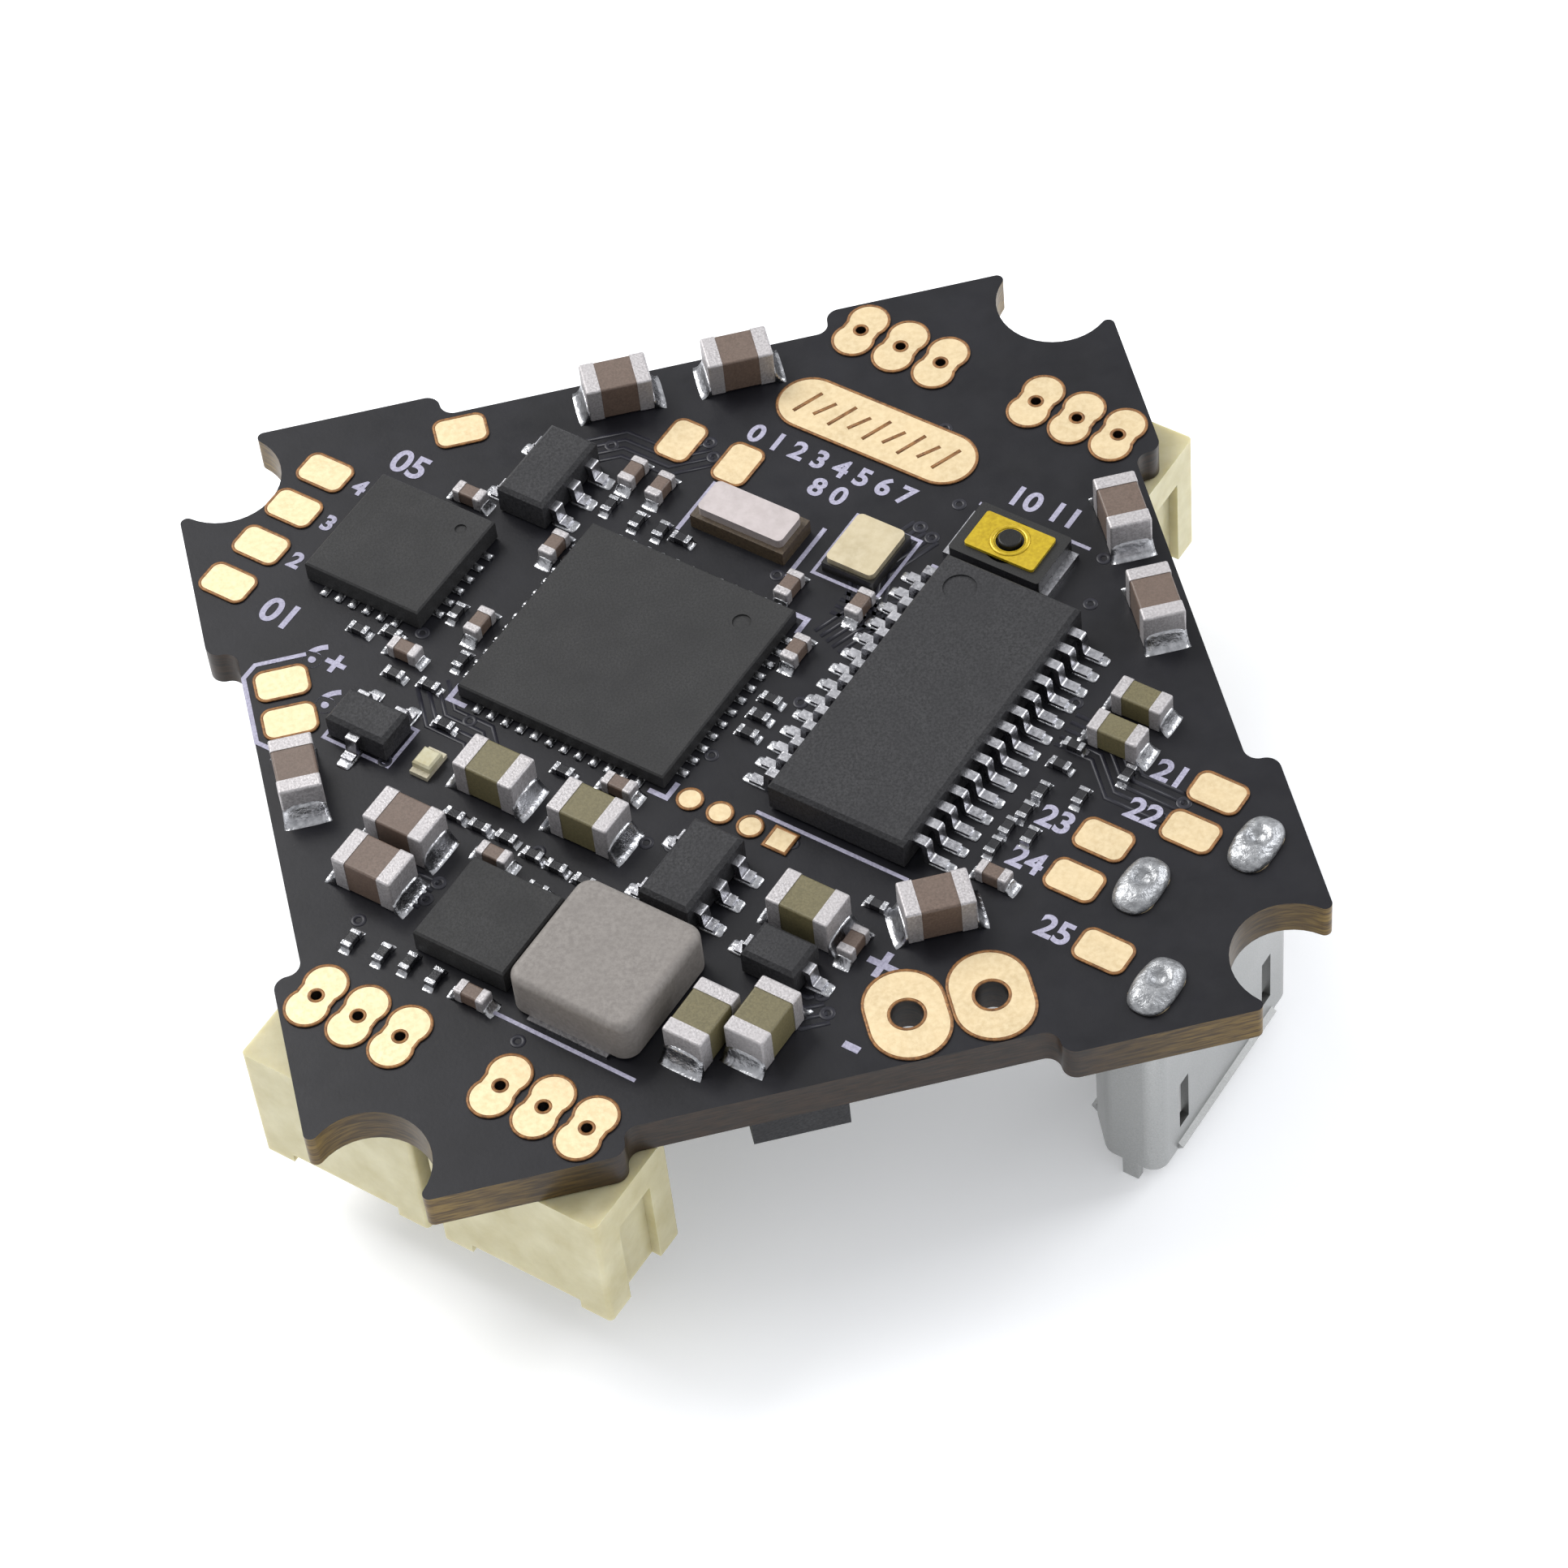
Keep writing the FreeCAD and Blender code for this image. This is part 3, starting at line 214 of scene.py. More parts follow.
def add_grid(work, rows):
    """Skin rows of points that all have the same length."""
    made = [[work.verts.new(point) for point in row] for row in rows]
    for first, second in zip(made, made[1:]):
        for n in range(len(first) - 1):
            work.faces.new((first[n], first[n + 1], second[n + 1], second[n]))
    return made


def offset_path(points, shift, closed):
    """A path moved sideways by a distance, with its corners mitred."""
    count = len(points)
    moved = []
    for n, point in enumerate(points):
        sides = []
        for start, stop in ((n - 1, n), (n, n + 1)):
            if closed or (start >= 0 and stop < count):
                step = (points[stop % count] - points[start % count]).normalized()
                sides.append(square_across(step))
        side = sum(sides, Vector()).normalized()
        moved.append(point + side * shift / max(side.dot(sides[0]), SHARPEST_CORNER))
    return moved


def add_ribbon(work, points, width, low, high, closed=False):
    """A flat strip of one width along a path of flat points, between two heights."""
    left = offset_path(points, width / 2, closed)
    right = offset_path(points, -width / 2, closed)
    rings = []
    for a, b in zip(left, right):
        section = ((a, low), (a, high), (b, high), (b, low))
        rings.append([work.verts.new((spot.x, spot.y, z)) for spot, z in section])
    pairs = list(zip(rings, rings[1:]))
    if closed:
        pairs.append((rings[-1], rings[0]))
    for first, second in pairs:
        for n in range(4):
            work.faces.new((first[n], first[(n + 1) % 4], second[(n + 1) % 4], second[n]))
    if not closed:
        work.faces.new(rings[0])
        work.faces.new(rings[-1][::-1])


def add_dome(work, spot, along, half_length, half_width, height, power=2.0, rings=5, segments=20):
    """A low mound on a surface, oval at power 2 and squarer above it, that rises to a rounded top."""
    across = square_across(along)
    layers = []
    for ring in range(rings):
        angle = ring / rings * math.pi / 2
        scale = math.cos(angle) ** (2 / power)
        lift = math.sin(angle) * height
        layer = []
        for n in range(segments):
            turn = 2 * math.pi * n / segments
            forward = math.copysign(abs(math.cos(turn)) ** (2 / power), math.cos(turn))
            sideways = math.copysign(abs(math.sin(turn)) ** (2 / power), math.sin(turn))
            flat = along * forward * half_length + across * sideways * half_width
            layer.append(work.verts.new(spot + flat * scale + Vector((0, 0, lift))))
        layers.append(layer)
    for first, second in zip(layers, layers[1:]):
        for n in range(segments):
            work.faces.new((first[n], first[(n + 1) % segments], second[(n + 1) % segments], second[n]))
    crown = work.verts.new(spot + Vector((0, 0, height)))
    for n in range(segments):
        work.faces.new((layers[-1][n], layers[-1][(n + 1) % segments], crown))
    work.faces.new(layers[0][::-1])


def add_ring(work, spot, inner, outer, height, segments=20):
    """A low round ring on a surface, highest along its middle."""
    ridge = (inner + outer) / 2
    profile = ((outer, -0.2), (outer * 0.92, 0.8), (ridge, 1.0), (inner * 1.08, 0.8), (inner, -0.2))
    rows = []
    for n in range(segments):
        turn = 2 * math.pi * n / segments
        way = Vector((math.cos(turn), math.sin(turn), 0))
        places = [spot + way * away + Vector((0, 0, height * up)) for away, up in profile]
        rows.append([work.verts.new(place) for place in places])
    for n in range(segments):
        first, second = rows[n], rows[(n + 1) % segments]
        for k in range(len(profile)):
            last = (k + 1) % len(profile)
            work.faces.new((first[k], first[last], second[last], second[k]))


def add_label(work, text, spot, turn, height):
    """Generic numerals or signs lying on the board."""
    letters = bpy.data.curves.new("label", "FONT")
    letters.body = text
    letters.extrude = INK / height
    letters.offset = PRINT_SPREAD / height
    letters.align_x = "CENTER"
    letters.align_y = "CENTER"
    holder = bpy.data.objects.new("label", letters)
    bpy.context.collection.objects.link(holder)
    graph = bpy.context.evaluated_depsgraph_get()
    mesh = bpy.data.meshes.new_from_object(holder.evaluated_get(graph))
    mesh.transform(Matrix.Translation(spot) @ Matrix.Rotation(turn, 4, "Z") @ Matrix.Scale(height, 4))
    work.from_mesh(mesh)
    bpy.data.objects.remove(holder)
    bpy.data.curves.remove(letters)
    bpy.data.meshes.remove(mesh)


# Materials. The Mix node has a socket of each name for every data type, so its colour sockets go by number.

MIX_A = 6
MIX_B = 7
MIX_RESULT = 2


def new_material(name):
    """An empty node material and its shader."""
    made = bpy.data.materials.new(name)
    made.use_nodes = True
    return made, made.node_tree, made.node_tree.nodes["Principled BSDF"]


def noise(tree, size_mm, detail=3.0, roughness=0.6):
    """Noise in the object's own space with grains about size_mm across."""
    place = tree.nodes.new("ShaderNodeTexCoord")
    made = tree.nodes.new("ShaderNodeTexNoise")
    made.inputs["Scale"].default_value = 1 / (size_mm * MM)
    made.inputs["Detail"].default_value = detail
    made.inputs["Roughness"].default_value = roughness
    tree.links.new(place.outputs["Object"], made.inputs["Vector"])
    return made.outputs["Fac"]


def ramp(tree, source, stops):
    """Colours placed along a value; each stop is (position, colour)."""
    made = tree.nodes.new("ShaderNodeValToRGB")
    elements = made.color_ramp.elements
    while len(elements) < len(stops):
        elements.new(0.5)
    for element, (position, colour) in zip(elements, stops):
        element.position = position
        element.color = (*colour, 1)
    tree.links.new(source, made.inputs["Fac"])
    return made.outputs["Color"]


def spread(tree, source, low, high):
    """Map a noise value to a range."""
    made = tree.nodes.new("ShaderNodeMapRange")
    made.inputs["From Min"].default_value = 0.3
    made.inputs["From Max"].default_value = 0.7
    made.inputs["To Min"].default_value = low
    made.inputs["To Max"].default_value = high
    tree.links.new(source, made.inputs["Value"])
    return made.outputs["Result"]


def mix(tree, amount, first, second):
    """Blend two colours; each is a colour or a socket."""
    made = tree.nodes.new("ShaderNodeMix")
    made.data_type = "RGBA"
    for index, value in ((MIX_A, first), (MIX_B, second)):
        if isinstance(value, tuple):
            made.inputs[index].default_value = (*value, 1)
        else:
            tree.links.new(value, made.inputs[index])
    tree.links.new(amount, made.inputs[0])
    return made.outputs[MIX_RESULT]


def bump(tree, shader, source, depth_mm, strength=1.0):
    """Relief of a real depth from a value."""
    made = tree.nodes.new("ShaderNodeBump")
    made.inputs["Distance"].default_value = depth_mm * MM
    made.inputs["Strength"].default_value = strength
    tree.links.new(source, made.inputs["Height"])
    tree.links.new(made.outputs["Normal"], shader.inputs["Normal"])
    return made


def grained(name, dark, light, grain_mm, roughness, metallic=0.0,
            depth_mm=0.004, patch_mm=1.5, shine=0.5):
    """A material with fine grain, broad patches of tone, uneven gloss and relief."""
    made, tree, shader = new_material(name)
    fine = noise(tree, grain_mm)
    broad = noise(tree, patch_mm, 2.0)
    half = tuple((a + b) / 2 for a, b in zip(dark, light))
    fine_colour = ramp(tree, fine, [(0.35, dark), (0.65, light)])
    colour = mix(tree, spread(tree, broad, 0.15, 0.6), fine_colour, half)
    tree.links.new(colour, shader.inputs["Base Color"])
    tree.links.new(spread(tree, broad, roughness - 0.06, roughness + 0.08), shader.inputs["Roughness"])
    shader.inputs["Metallic"].default_value = metallic
    shader.inputs["Specular IOR Level"].default_value = shine
    bump(tree, shader, fine, depth_mm)
    return made


def away_from_middle(tree, near_mm, far_mm):
    """A value that rises from 0 to 1 with the distance from the board's own middle."""
    place = tree.nodes.new("ShaderNodeTexCoord")
    flat = tree.nodes.new("ShaderNodeMapping")
    flat.inputs["Scale"].default_value = (1, 1, 0)
    tree.links.new(place.outputs["Object"], flat.inputs["Vector"])
    length = tree.nodes.new("ShaderNodeVectorMath")
    length.operation = "LENGTH"
    tree.links.new(flat.outputs["Vector"], length.inputs[0])
    made = tree.nodes.new("ShaderNodeMapRange")
    made.inputs["From Min"].default_value = near_mm * MM
    made.inputs["From Max"].default_value = far_mm * MM
    tree.links.new(length.outputs["Value"], made.inputs["Value"])
    return made.outputs["Result"]


def board_material():
    """Black solder mask on both faces; walls of dark laminate, amber near the corners."""
    made, tree, shader = new_material("solder_mask_board")
    geometry = tree.nodes.new("ShaderNodeNewGeometry")
    split = tree.nodes.new("ShaderNodeSeparateXYZ")
    tree.links.new(geometry.outputs["Normal"], split.inputs["Vector"])
    upright = tree.nodes.new("ShaderNodeMath")
    upright.operation = "ABSOLUTE"
    tree.links.new(split.outputs["Z"], upright.inputs[0])
    face = tree.nodes.new("ShaderNodeMath")
    face.operation = "GREATER_THAN"
    face.inputs[1].default_value = 0.5
    tree.links.new(upright.outputs[0], face.inputs[0])
    deep_black = (0.0045, 0.0045, 0.0065)
    pale_black = (0.009, 0.009, 0.0125)
    mask = ramp(tree, noise(tree, 2.4, 4.0), [(0.3, deep_black), (0.7, pale_black)])
    place = tree.nodes.new("ShaderNodeTexCoord")
    layers = tree.nodes.new("ShaderNodeMapping")
    layers.inputs["Scale"].default_value = (1, 1, 9)
    tree.links.new(place.outputs["Object"], layers.inputs["Vector"])
    cloth = tree.nodes.new("ShaderNodeTexNoise")
    cloth.inputs["Scale"].default_value = 1 / (0.7 * MM)
    cloth.inputs["Detail"].default_value = 5
    tree.links.new(layers.outputs["Vector"], cloth.inputs["Vector"])
    amber = ramp(tree, cloth.outputs["Fac"], [(0.35, (0.06, 0.032, 0.007)), (0.7, (0.22, 0.14, 0.03))])
    dark = ramp(tree, cloth.outputs["Fac"], [(0.35, (0.012, 0.009, 0.007)), (0.7, (0.038, 0.021, 0.012))])
    wall = mix(tree, away_from_middle(tree, 15.5, 18.2), dark, amber)
    tree.links.new(mix(tree, face.outputs[0], wall, mask), shader.inputs["Base Color"])
    tree.links.new(spread(tree, noise(tree, 0.9, 3.0), 0.34, 0.46), shader.inputs["Roughness"])
    shader.inputs["Specular IOR Level"].default_value = 0.27
    shader.inputs["Coat Weight"].default_value = 0.05
    shader.inputs["Coat Roughness"].default_value = 0.2
    bump(tree, shader, noise(tree, 0.12, 4.0), 0.003)
    return made


def nylon_material():
    """Cream moulded nylon, slightly clear, with faint flow marks."""
    made, tree, shader = new_material("cream_nylon")
    flow = noise(tree, 1.4, 4.0)
    colour = ramp(tree, flow, [(0.3, (0.47, 0.42, 0.23)), (0.7, (0.60, 0.56, 0.37))])
    tree.links.new(colour, shader.inputs["Base Color"])
    tree.links.new(spread(tree, noise(tree, 0.3), 0.38, 0.5), shader.inputs["Roughness"])
    shader.inputs["Subsurface Weight"].default_value = 0.35
    shader.inputs["Subsurface Radius"].default_value = (1.0, 0.85, 0.5)
    shader.inputs["Subsurface Scale"].default_value = 0.6 * MM
    bump(tree, shader, noise(tree, 0.08, 3.0), 0.003)
    return made


def lens_material():
    """Clear yellowish resin."""
    made, tree, shader = new_material("clear_resin")
    colour = ramp(tree, noise(tree, 0.25), [(0.3, (0.75, 0.68, 0.42)), (0.7, (0.9, 0.86, 0.62))])
    tree.links.new(colour, shader.inputs["Base Color"])
    tree.links.new(spread(tree, noise(tree, 0.1), 0.12, 0.25), shader.inputs["Roughness"])
    shader.inputs["Transmission Weight"].default_value = 0.45
    bump(tree, shader, noise(tree, 0.06), 0.003)
    return made


BOARD = board_material()
MASK = grained("raised_mask", (0.013, 0.013, 0.018), (0.024, 0.024, 0.033), 0.5, 0.36,
               depth_mm=0.002, shine=0.3)
GOLD = grained("pale_gold", (0.60, 0.465, 0.27), (0.73, 0.60, 0.385), 0.16, 0.4, 0.42,
               0.004, patch_mm=0.9)
# Painted shade: this dark copper-brown finish outlines the bare pads in place of the shading at their
# edges. It also colours the bars etched on the gold patch.
PAD_EDGE_SHADE_AND_ETCH = grained("pad_edge_shade_and_etch", (0.10, 0.04, 0.012), (0.34, 0.16, 0.05), 0.12, 0.5, 0.3, 0.003)
MOULDING = grained("chip_moulding", (0.009, 0.009, 0.0105), (0.036, 0.036, 0.039), 0.08, 0.6,
                   depth_mm=0.02, shine=0.3)
FLAT_MOULDING = grained("flat_chip_moulding", (0.013, 0.013, 0.0135), (0.029, 0.029, 0.03), 0.07, 0.62,
                        depth_mm=0.012, shine=0.3)
LEAD = grained("tinned_lead", (0.26, 0.26, 0.28), (0.66, 0.66, 0.69), 0.12, 0.27, 1.0, 0.01)
SOLDER = grained("solder", (0.22, 0.225, 0.24), (0.62, 0.625, 0.65), 0.18, 0.26, 1.0, 0.03)
DULL_SOLDER = grained("dull_solder", (0.2, 0.205, 0.215), (0.46, 0.47, 0.485), 0.2, 0.42, 0.85, 0.05)
CAP_END = grained("capacitor_end", (0.28, 0.265, 0.27), (0.55, 0.53, 0.54), 0.07, 0.48, 0.55, 0.012)
BROWN = grained("brown_ceramic", (0.085, 0.058, 0.044), (0.15, 0.105, 0.083), 0.06, 0.42, depth_mm=0.004)
OLIVE = grained("olive_ceramic", (0.09, 0.078, 0.036), (0.16, 0.138, 0.068), 0.06, 0.4, depth_mm=0.004)
GLAZE = grained("resistor_glaze", (0.008, 0.008, 0.009), (0.02, 0.02, 0.024), 0.06, 0.22, depth_mm=0.003)
NYLON = nylon_material()
STEEL = grained("usb_steel", (0.33, 0.335, 0.33), (0.45, 0.455, 0.45), 0.04, 0.34, 0.95,
                0.0015, patch_mm=3.0)
DARK_PLASTIC = grained("dark_plastic", (0.008, 0.008, 0.008), (0.02, 0.02, 0.02), 0.05, 0.45, shine=0.35)
FILM = grained("yellow_film", (0.40, 0.27, 0.008), (0.58, 0.42, 0.018), 0.12, 0.3, 0.3, 0.004)
BUTTON = grained("button_black", (0.004, 0.004, 0.004), (0.011, 0.011, 0.011), 0.04, 0.4, shine=0.3)
CRYSTAL_BASE = grained("crystal_ceramic", (0.03, 0.02, 0.012), (0.085, 0.06, 0.035), 0.07, 0.45)
BLACK_CERAMIC = grained("black_ceramic", (0.006, 0.006, 0.006), (0.02, 0.019, 0.017), 0.07, 0.35,
                        shine=0.4)
LID_SILVER = grained("crystal_lid_silver", (0.43, 0.385, 0.38), (0.52, 0.47, 0.47), 0.3, 0.42, 0.6, 0.002)
LID_GOLD = grained("crystal_lid_gold", (0.47, 0.40, 0.26), (0.58, 0.51, 0.36), 0.3, 0.42, 0.6, 0.002)
INDUCTOR = grained("inductor_grey", (0.165, 0.15, 0.14), (0.235, 0.218, 0.203), 0.12, 0.55, 0.1,
                   0.006, shine=0.35)
LIGHT_BASE = grained("light_base", (0.34, 0.31, 0.23), (0.5, 0.46, 0.34), 0.08, 0.5)
LENS = lens_material()
SILK = grained("silk_ink", (0.22, 0.21, 0.29), (0.42, 0.41, 0.52), 0.07, 0.66, depth_mm=0.006)

NODE_MATERIALS = {
    "circuit_board": BOARD,
    "signal_pads": GOLD, "motor_pads": GOLD, "battery_pads": GOLD, "test_pads": GOLD, "copper_patch": GOLD,
    "usb_leg_pads": GOLD, "usb_contacts": GOLD,
    "microcontroller_body": FLAT_MOULDING, "gyro_body": FLAT_MOULDING, "converter_body": FLAT_MOULDING,
    "motor_driver_bodies": FLAT_MOULDING, "power_transistor_bodies": FLAT_MOULDING,
    "display_chip_body": MOULDING, "regulator_bodies": MOULDING, "transistor_body": MOULDING,
    "diode_bodies": MOULDING,
    "microcontroller_lands": SOLDER, "gyro_lands": SOLDER, "converter_lands": SOLDER,
    "motor_driver_lands": SOLDER, "power_transistor_lands": SOLDER,
    "display_chip_leads": LEAD, "regulator_leads": LEAD, "transistor_leads": LEAD, "diode_leads": LEAD,
    "motor_socket_pins": LEAD, "inductor_terminals": LEAD, "boot_button_terminals": LEAD,
    "boot_button_dome": LEAD,
    "brown_capacitor_blocks": BROWN, "olive_capacitor_blocks": OLIVE, "medium_capacitor_blocks": OLIVE,
    "small_capacitor_blocks": BROWN, "underside_capacitor_blocks": BROWN,
    "brown_capacitor_ends": CAP_END, "olive_capacitor_ends": CAP_END, "medium_capacitor_ends": CAP_END,
    "small_capacitor_ends": CAP_END, "underside_capacitor_ends": CAP_END, "current_shunt_ends": CAP_END,
    "resistor_ends": SOLDER, "resistor_blocks": GLAZE, "current_shunt_blocks": GLAZE,
    "boot_button_base": DARK_PLASTIC, "boot_button_cover": FILM, "boot_button_plunger": BUTTON,
    "main_crystal_base": CRYSTAL_BASE, "display_crystal_base": BLACK_CERAMIC,
    "main_crystal_lid": LID_SILVER, "display_crystal_lid": LID_GOLD,
    "inductor_core": INDUCTOR, "status_light_base": LIGHT_BASE, "status_light_lens": LENS,
    "usb_shell": STEEL, "usb_tongue": DARK_PLASTIC,
    "motor_socket_1": NYLON, "motor_socket_2": NYLON, "motor_socket_3": NYLON, "motor_socket_4": NYLON,
}


def dress_nodes():
    """Give every CAD node its procedural material."""
    for name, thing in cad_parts.items():
        for holder in thing.material_slots:
            holder.material = NODE_MATERIALS[name]


# Solder.

CHIP_PARTS = (
    "brown_capacitor", "olive_capacitor", "medium_capacitor", "small_capacitor", "resistor",
    "underside_capacitor", "current_shunt",
)
LEADED_CHIPS = (
    ("display_chip_body", "display_chip_leads"),
    ("transistor_body", "transistor_leads"),
    ("diode_bodies", "diode_leads"),
    ("regulator_bodies", "regulator_leads"),
)
FLAT_CHIPS = (
    ("microcontroller_body", "microcontroller_lands"),
    ("gyro_body", "gyro_lands"),
    ("converter_body", "converter_lands"),
    ("motor_driver_bodies", "motor_driver_lands"),
    ("power_transistor_bodies", "power_transistor_lands"),
)
FILLET_ROWS = 7
FILLET_COLUMNS = 9
SUNK = 0.01 * MM
FOOT_HALF_LENGTH = 0.42 * MM
FOOT_TO_LEAD_WIDTH = 0.62
FOOT_FROM_TIP = 0.16 * MM
FOOT_HEIGHT = 0.07 * MM
BEAD_HALF_LENGTH = 0.17 * MM
BEAD_HALF_WIDTH = 0.11 * MM
BEAD_HEIGHT = 0.1 * MM
BEAD_SHIFT = 0.14 * MM
JOINT_HALF_LENGTH = 1.0 * MM
JOINT_HALF_WIDTH = 0.63 * MM
JOINT_HEIGHT = 0.36 * MM
PIT_SIZE = 0.26 * MM
PIT_SHIFT = 0.12 * MM
UNEVEN_HEIGHT = 0.05 * MM
UNEVEN_SIZE = 0.45 * MM


def solder_on_ends():
    """A concave fillet from the foot of each chip part's metal end out over its land."""
    work = bmesh.new()
    for family in CHIP_PARTS:
        blocks = [centre(points) for points in islands(family + "_blocks")]
        for points in islands(family + "_ends"):
            here = centre(points)
            block = min(blocks, key=lambda spot: (spot - here).length)
            out = Vector((here.x - block.x, here.y - block.y, 0)).normalized()
            add_fillet(work, points, out)
    return piece("solder_fillets", work, SOLDER)


def add_fillet(work, points, out):
    """One solder fillet against the outer face of a metal end."""
    across = square_across(out)
    face = reach(points, out)[1]
    left, right = reach(points, across)
    low, high = reach(points, UP)
    base, sign = (UNDER, -1) if high <= UNDER + SUNK else (TOP, 1)
    tall = high - low
    width = right - left
    climb = tall * random.uniform(0.42, 0.62)
    foot = min(0.42 * tall, 0.32 * MM) * random.uniform(0.85, 1.15) + 0.05 * MM
    rows = []
    for step in range(FILLET_ROWS):
        along = step / (FILLET_ROWS - 1)
        row = []
        for place in range(FILLET_COLUMNS):
            side = 2 * place / (FILLET_COLUMNS - 1) - 1
            edge = 1 - 0.35 * abs(side) ** 4
            rise = climb * (1 - along) ** 2.2 * edge
            spot = out * (face - 0.02 * MM + foot * along * (0.72 + 0.28 * edge))
            spot += across * ((left + right) / 2 + side * width * (0.5 + 0.05 * along))
            row.append(Vector((spot.x, spot.y, base + sign * rise)))
        rows.append(row)
    close_sheet(work, rows, base)


def close_sheet(work, rows, base):
    """Skin a sheet of points and close it down to a base height."""
    made = add_grid(work, rows)
    rim = made[0] + [row[-1] for row in made[1:]] + made[-1][-2::-1] + [row[0] for row in made[-2:0:-1]]
    foot = [work.verts.new((vert.co.x, vert.co.y, base)) for vert in rim]
    count = len(rim)
    for n in range(count):
        following = (n + 1) % count
        gap = (rim[n].co - foot[n].co).length + (rim[following].co - foot[following].co).length
        if gap > NO_HEIGHT:
            work.faces.new((rim[n], rim[following], foot[following], foot[n]))
    work.faces.new(foot)


def solder_on_leads():
    """A low mound of solder round the foot of each gull-wing lead."""
    work = bmesh.new()
    for chip, leads in LEADED_CHIPS:
        bodies = [(centre(points), points) for points in islands(chip)]
        for points in islands(leads):
            here = centre(points)
            _, outline = min(bodies, key=lambda pair: (pair[0] - here).length)
            add_foot(work, points, here, outline)
    return piece("solder_feet", work, SOLDER)


def add_foot(work, points, here, outline):
    """Solder at the foot of one lead, on the side of the chip's outline that it leaves."""
    out = max(eight_ways(), key=lambda way: here.dot(way) - reach(outline, way)[1])
    across = square_across(out)
    tip = reach(points, out)[1]
    left, right = reach(points, across)
    base, sign = (UNDER, -1) if reach(points, UP)[0] < UNDER else (TOP, 1)
    spot = out * (tip - FOOT_FROM_TIP) + across * (left + right) / 2
    height = FOOT_HEIGHT * random.uniform(0.85, 1.15) * sign
    half_width = (right - left) * FOOT_TO_LEAD_WIDTH
    add_dome(work, Vector((spot.x, spot.y, base)), out, FOOT_HALF_LENGTH, half_width, height, power=6.0)


def solder_on_lands():
    """A small bead on the outer half of each land of the flat chips."""
    work = bmesh.new()
    for chip, lands in FLAT_CHIPS:
        bodies = [centre(points) for points in islands(chip)]
        for points in islands(lands):
            here = centre(points)
            body = min(bodies, key=lambda spot: (spot - here).length)
            aligned = [way for way in eight_ways() if runs_along(points, way)]
            out = max(aligned, key=lambda way: (here - body).dot(way))
            low, high = reach(points, UP)
            face, sign = (low, -1) if high <= UNDER + SAME_PLACE else (high, 1)
            spot = here + out * BEAD_SHIFT
            height = BEAD_HEIGHT * random.uniform(0.8, 1.2) * sign
            foot = Vector((spot.x, spot.y, face - SUNK * sign))
            add_dome(work, foot, out, BEAD_HALF_LENGTH, BEAD_HALF_WIDTH, height,
                     power=3.0, rings=4, segments=14)
    return piece("solder_lands", work, SOLDER)


def runs_along(points, way):
    """True if a land's long side lies along this direction."""
    first, last = reach(points, way)
    left, right = reach(points, square_across(way))
    return last - first > LAND_LENGTH_LEAST and right - left < LAND_WIDTH_MOST


def solder_on_usb_legs():
    """Uneven joints that cover the three oval pads of the USB shell, each with a pit."""
    work = bmesh.new()
    middles = [centre(points) for points in islands("usb_leg_pads")]
    for here in middles:
        spot = Vector((here.x, here.y, PAD_TOP - SUNK))
        add_dome(work, spot, ALONG_V, JOINT_HALF_LENGTH, JOINT_HALF_WIDTH, JOINT_HEIGHT,
                 power=2.6, rings=12, segments=48)
    joints = piece("solder_usb_joints", work, DULL_SOLDER)
    for vert in joints.data.vertices:
        flat = Vector((vert.co.x, vert.co.y, 0))
        here = min(middles, key=lambda spot: (Vector((spot.x, spot.y, 0)) - flat).length)
        away = flat - Vector((here.x, here.y, 0)) - ALONG_V * PIT_SHIFT
        if vert.co.z > PAD_TOP:
            pit = PIT_SIZE * math.exp(-(away.length / PIT_SIZE) ** 4)
            uneven = UNEVEN_HEIGHT * noise_at(vert.co / UNEVEN_SIZE)
            vert.co.z = max(vert.co.z - pit + uneven, PAD_TOP)
    return joints


# Print, copper under the mask, and painted shade round the pads' edges.

# Lines beside parts: the node, the line's distance and width in mm, and the corners that each line joins.
PRINTED_SIDES = (
    ("boot_button_base", 0.36, 0.12, ((0, 1), (3, 2))),
    ("main_crystal_base", 0.3, 0.14, ((0, 3), (1, 2))),
    ("display_chip_body", 0.28, 0.12, ((0, 1),)),
    ("inductor_core", 0.35, 0.12, ((0, 1),)),
)

# Generic numerals and signs: the text, its place u, v on the grid, and its height in mm.
LABELS = [
    ("01", -13.4, -3.5, 1.25), ("2", -14.2, -1.6, 0.8), ("3", -14.2, 0.05, 0.8), ("4", -14.2, 1.65, 0.8),
    ("05", -13.4, 3.1, 1.2), ("6+", -11.2, -4.3, 1.3), ("6-", -10.05, -5.5, 1.3),
    ("0 1 2 3 4 5 6 7", -2.4, 9.1, 0.95), ("8 0", -1.9, 8.15, 0.95), ("10 11", 4.0, 10.65, 1.05),
    ("21", 12.1, 3.8, 1.05), ("22", 12.1, 2.25, 1.05), ("23", 10.1, 0.85, 1.05), ("24", 10.1, -0.75, 1.05),
    ("25", 12.0, -2.45, 1.05), ("+", 8.5, -5.8, 1.8), ("-", 9.2, -8.3, 1.8),
]

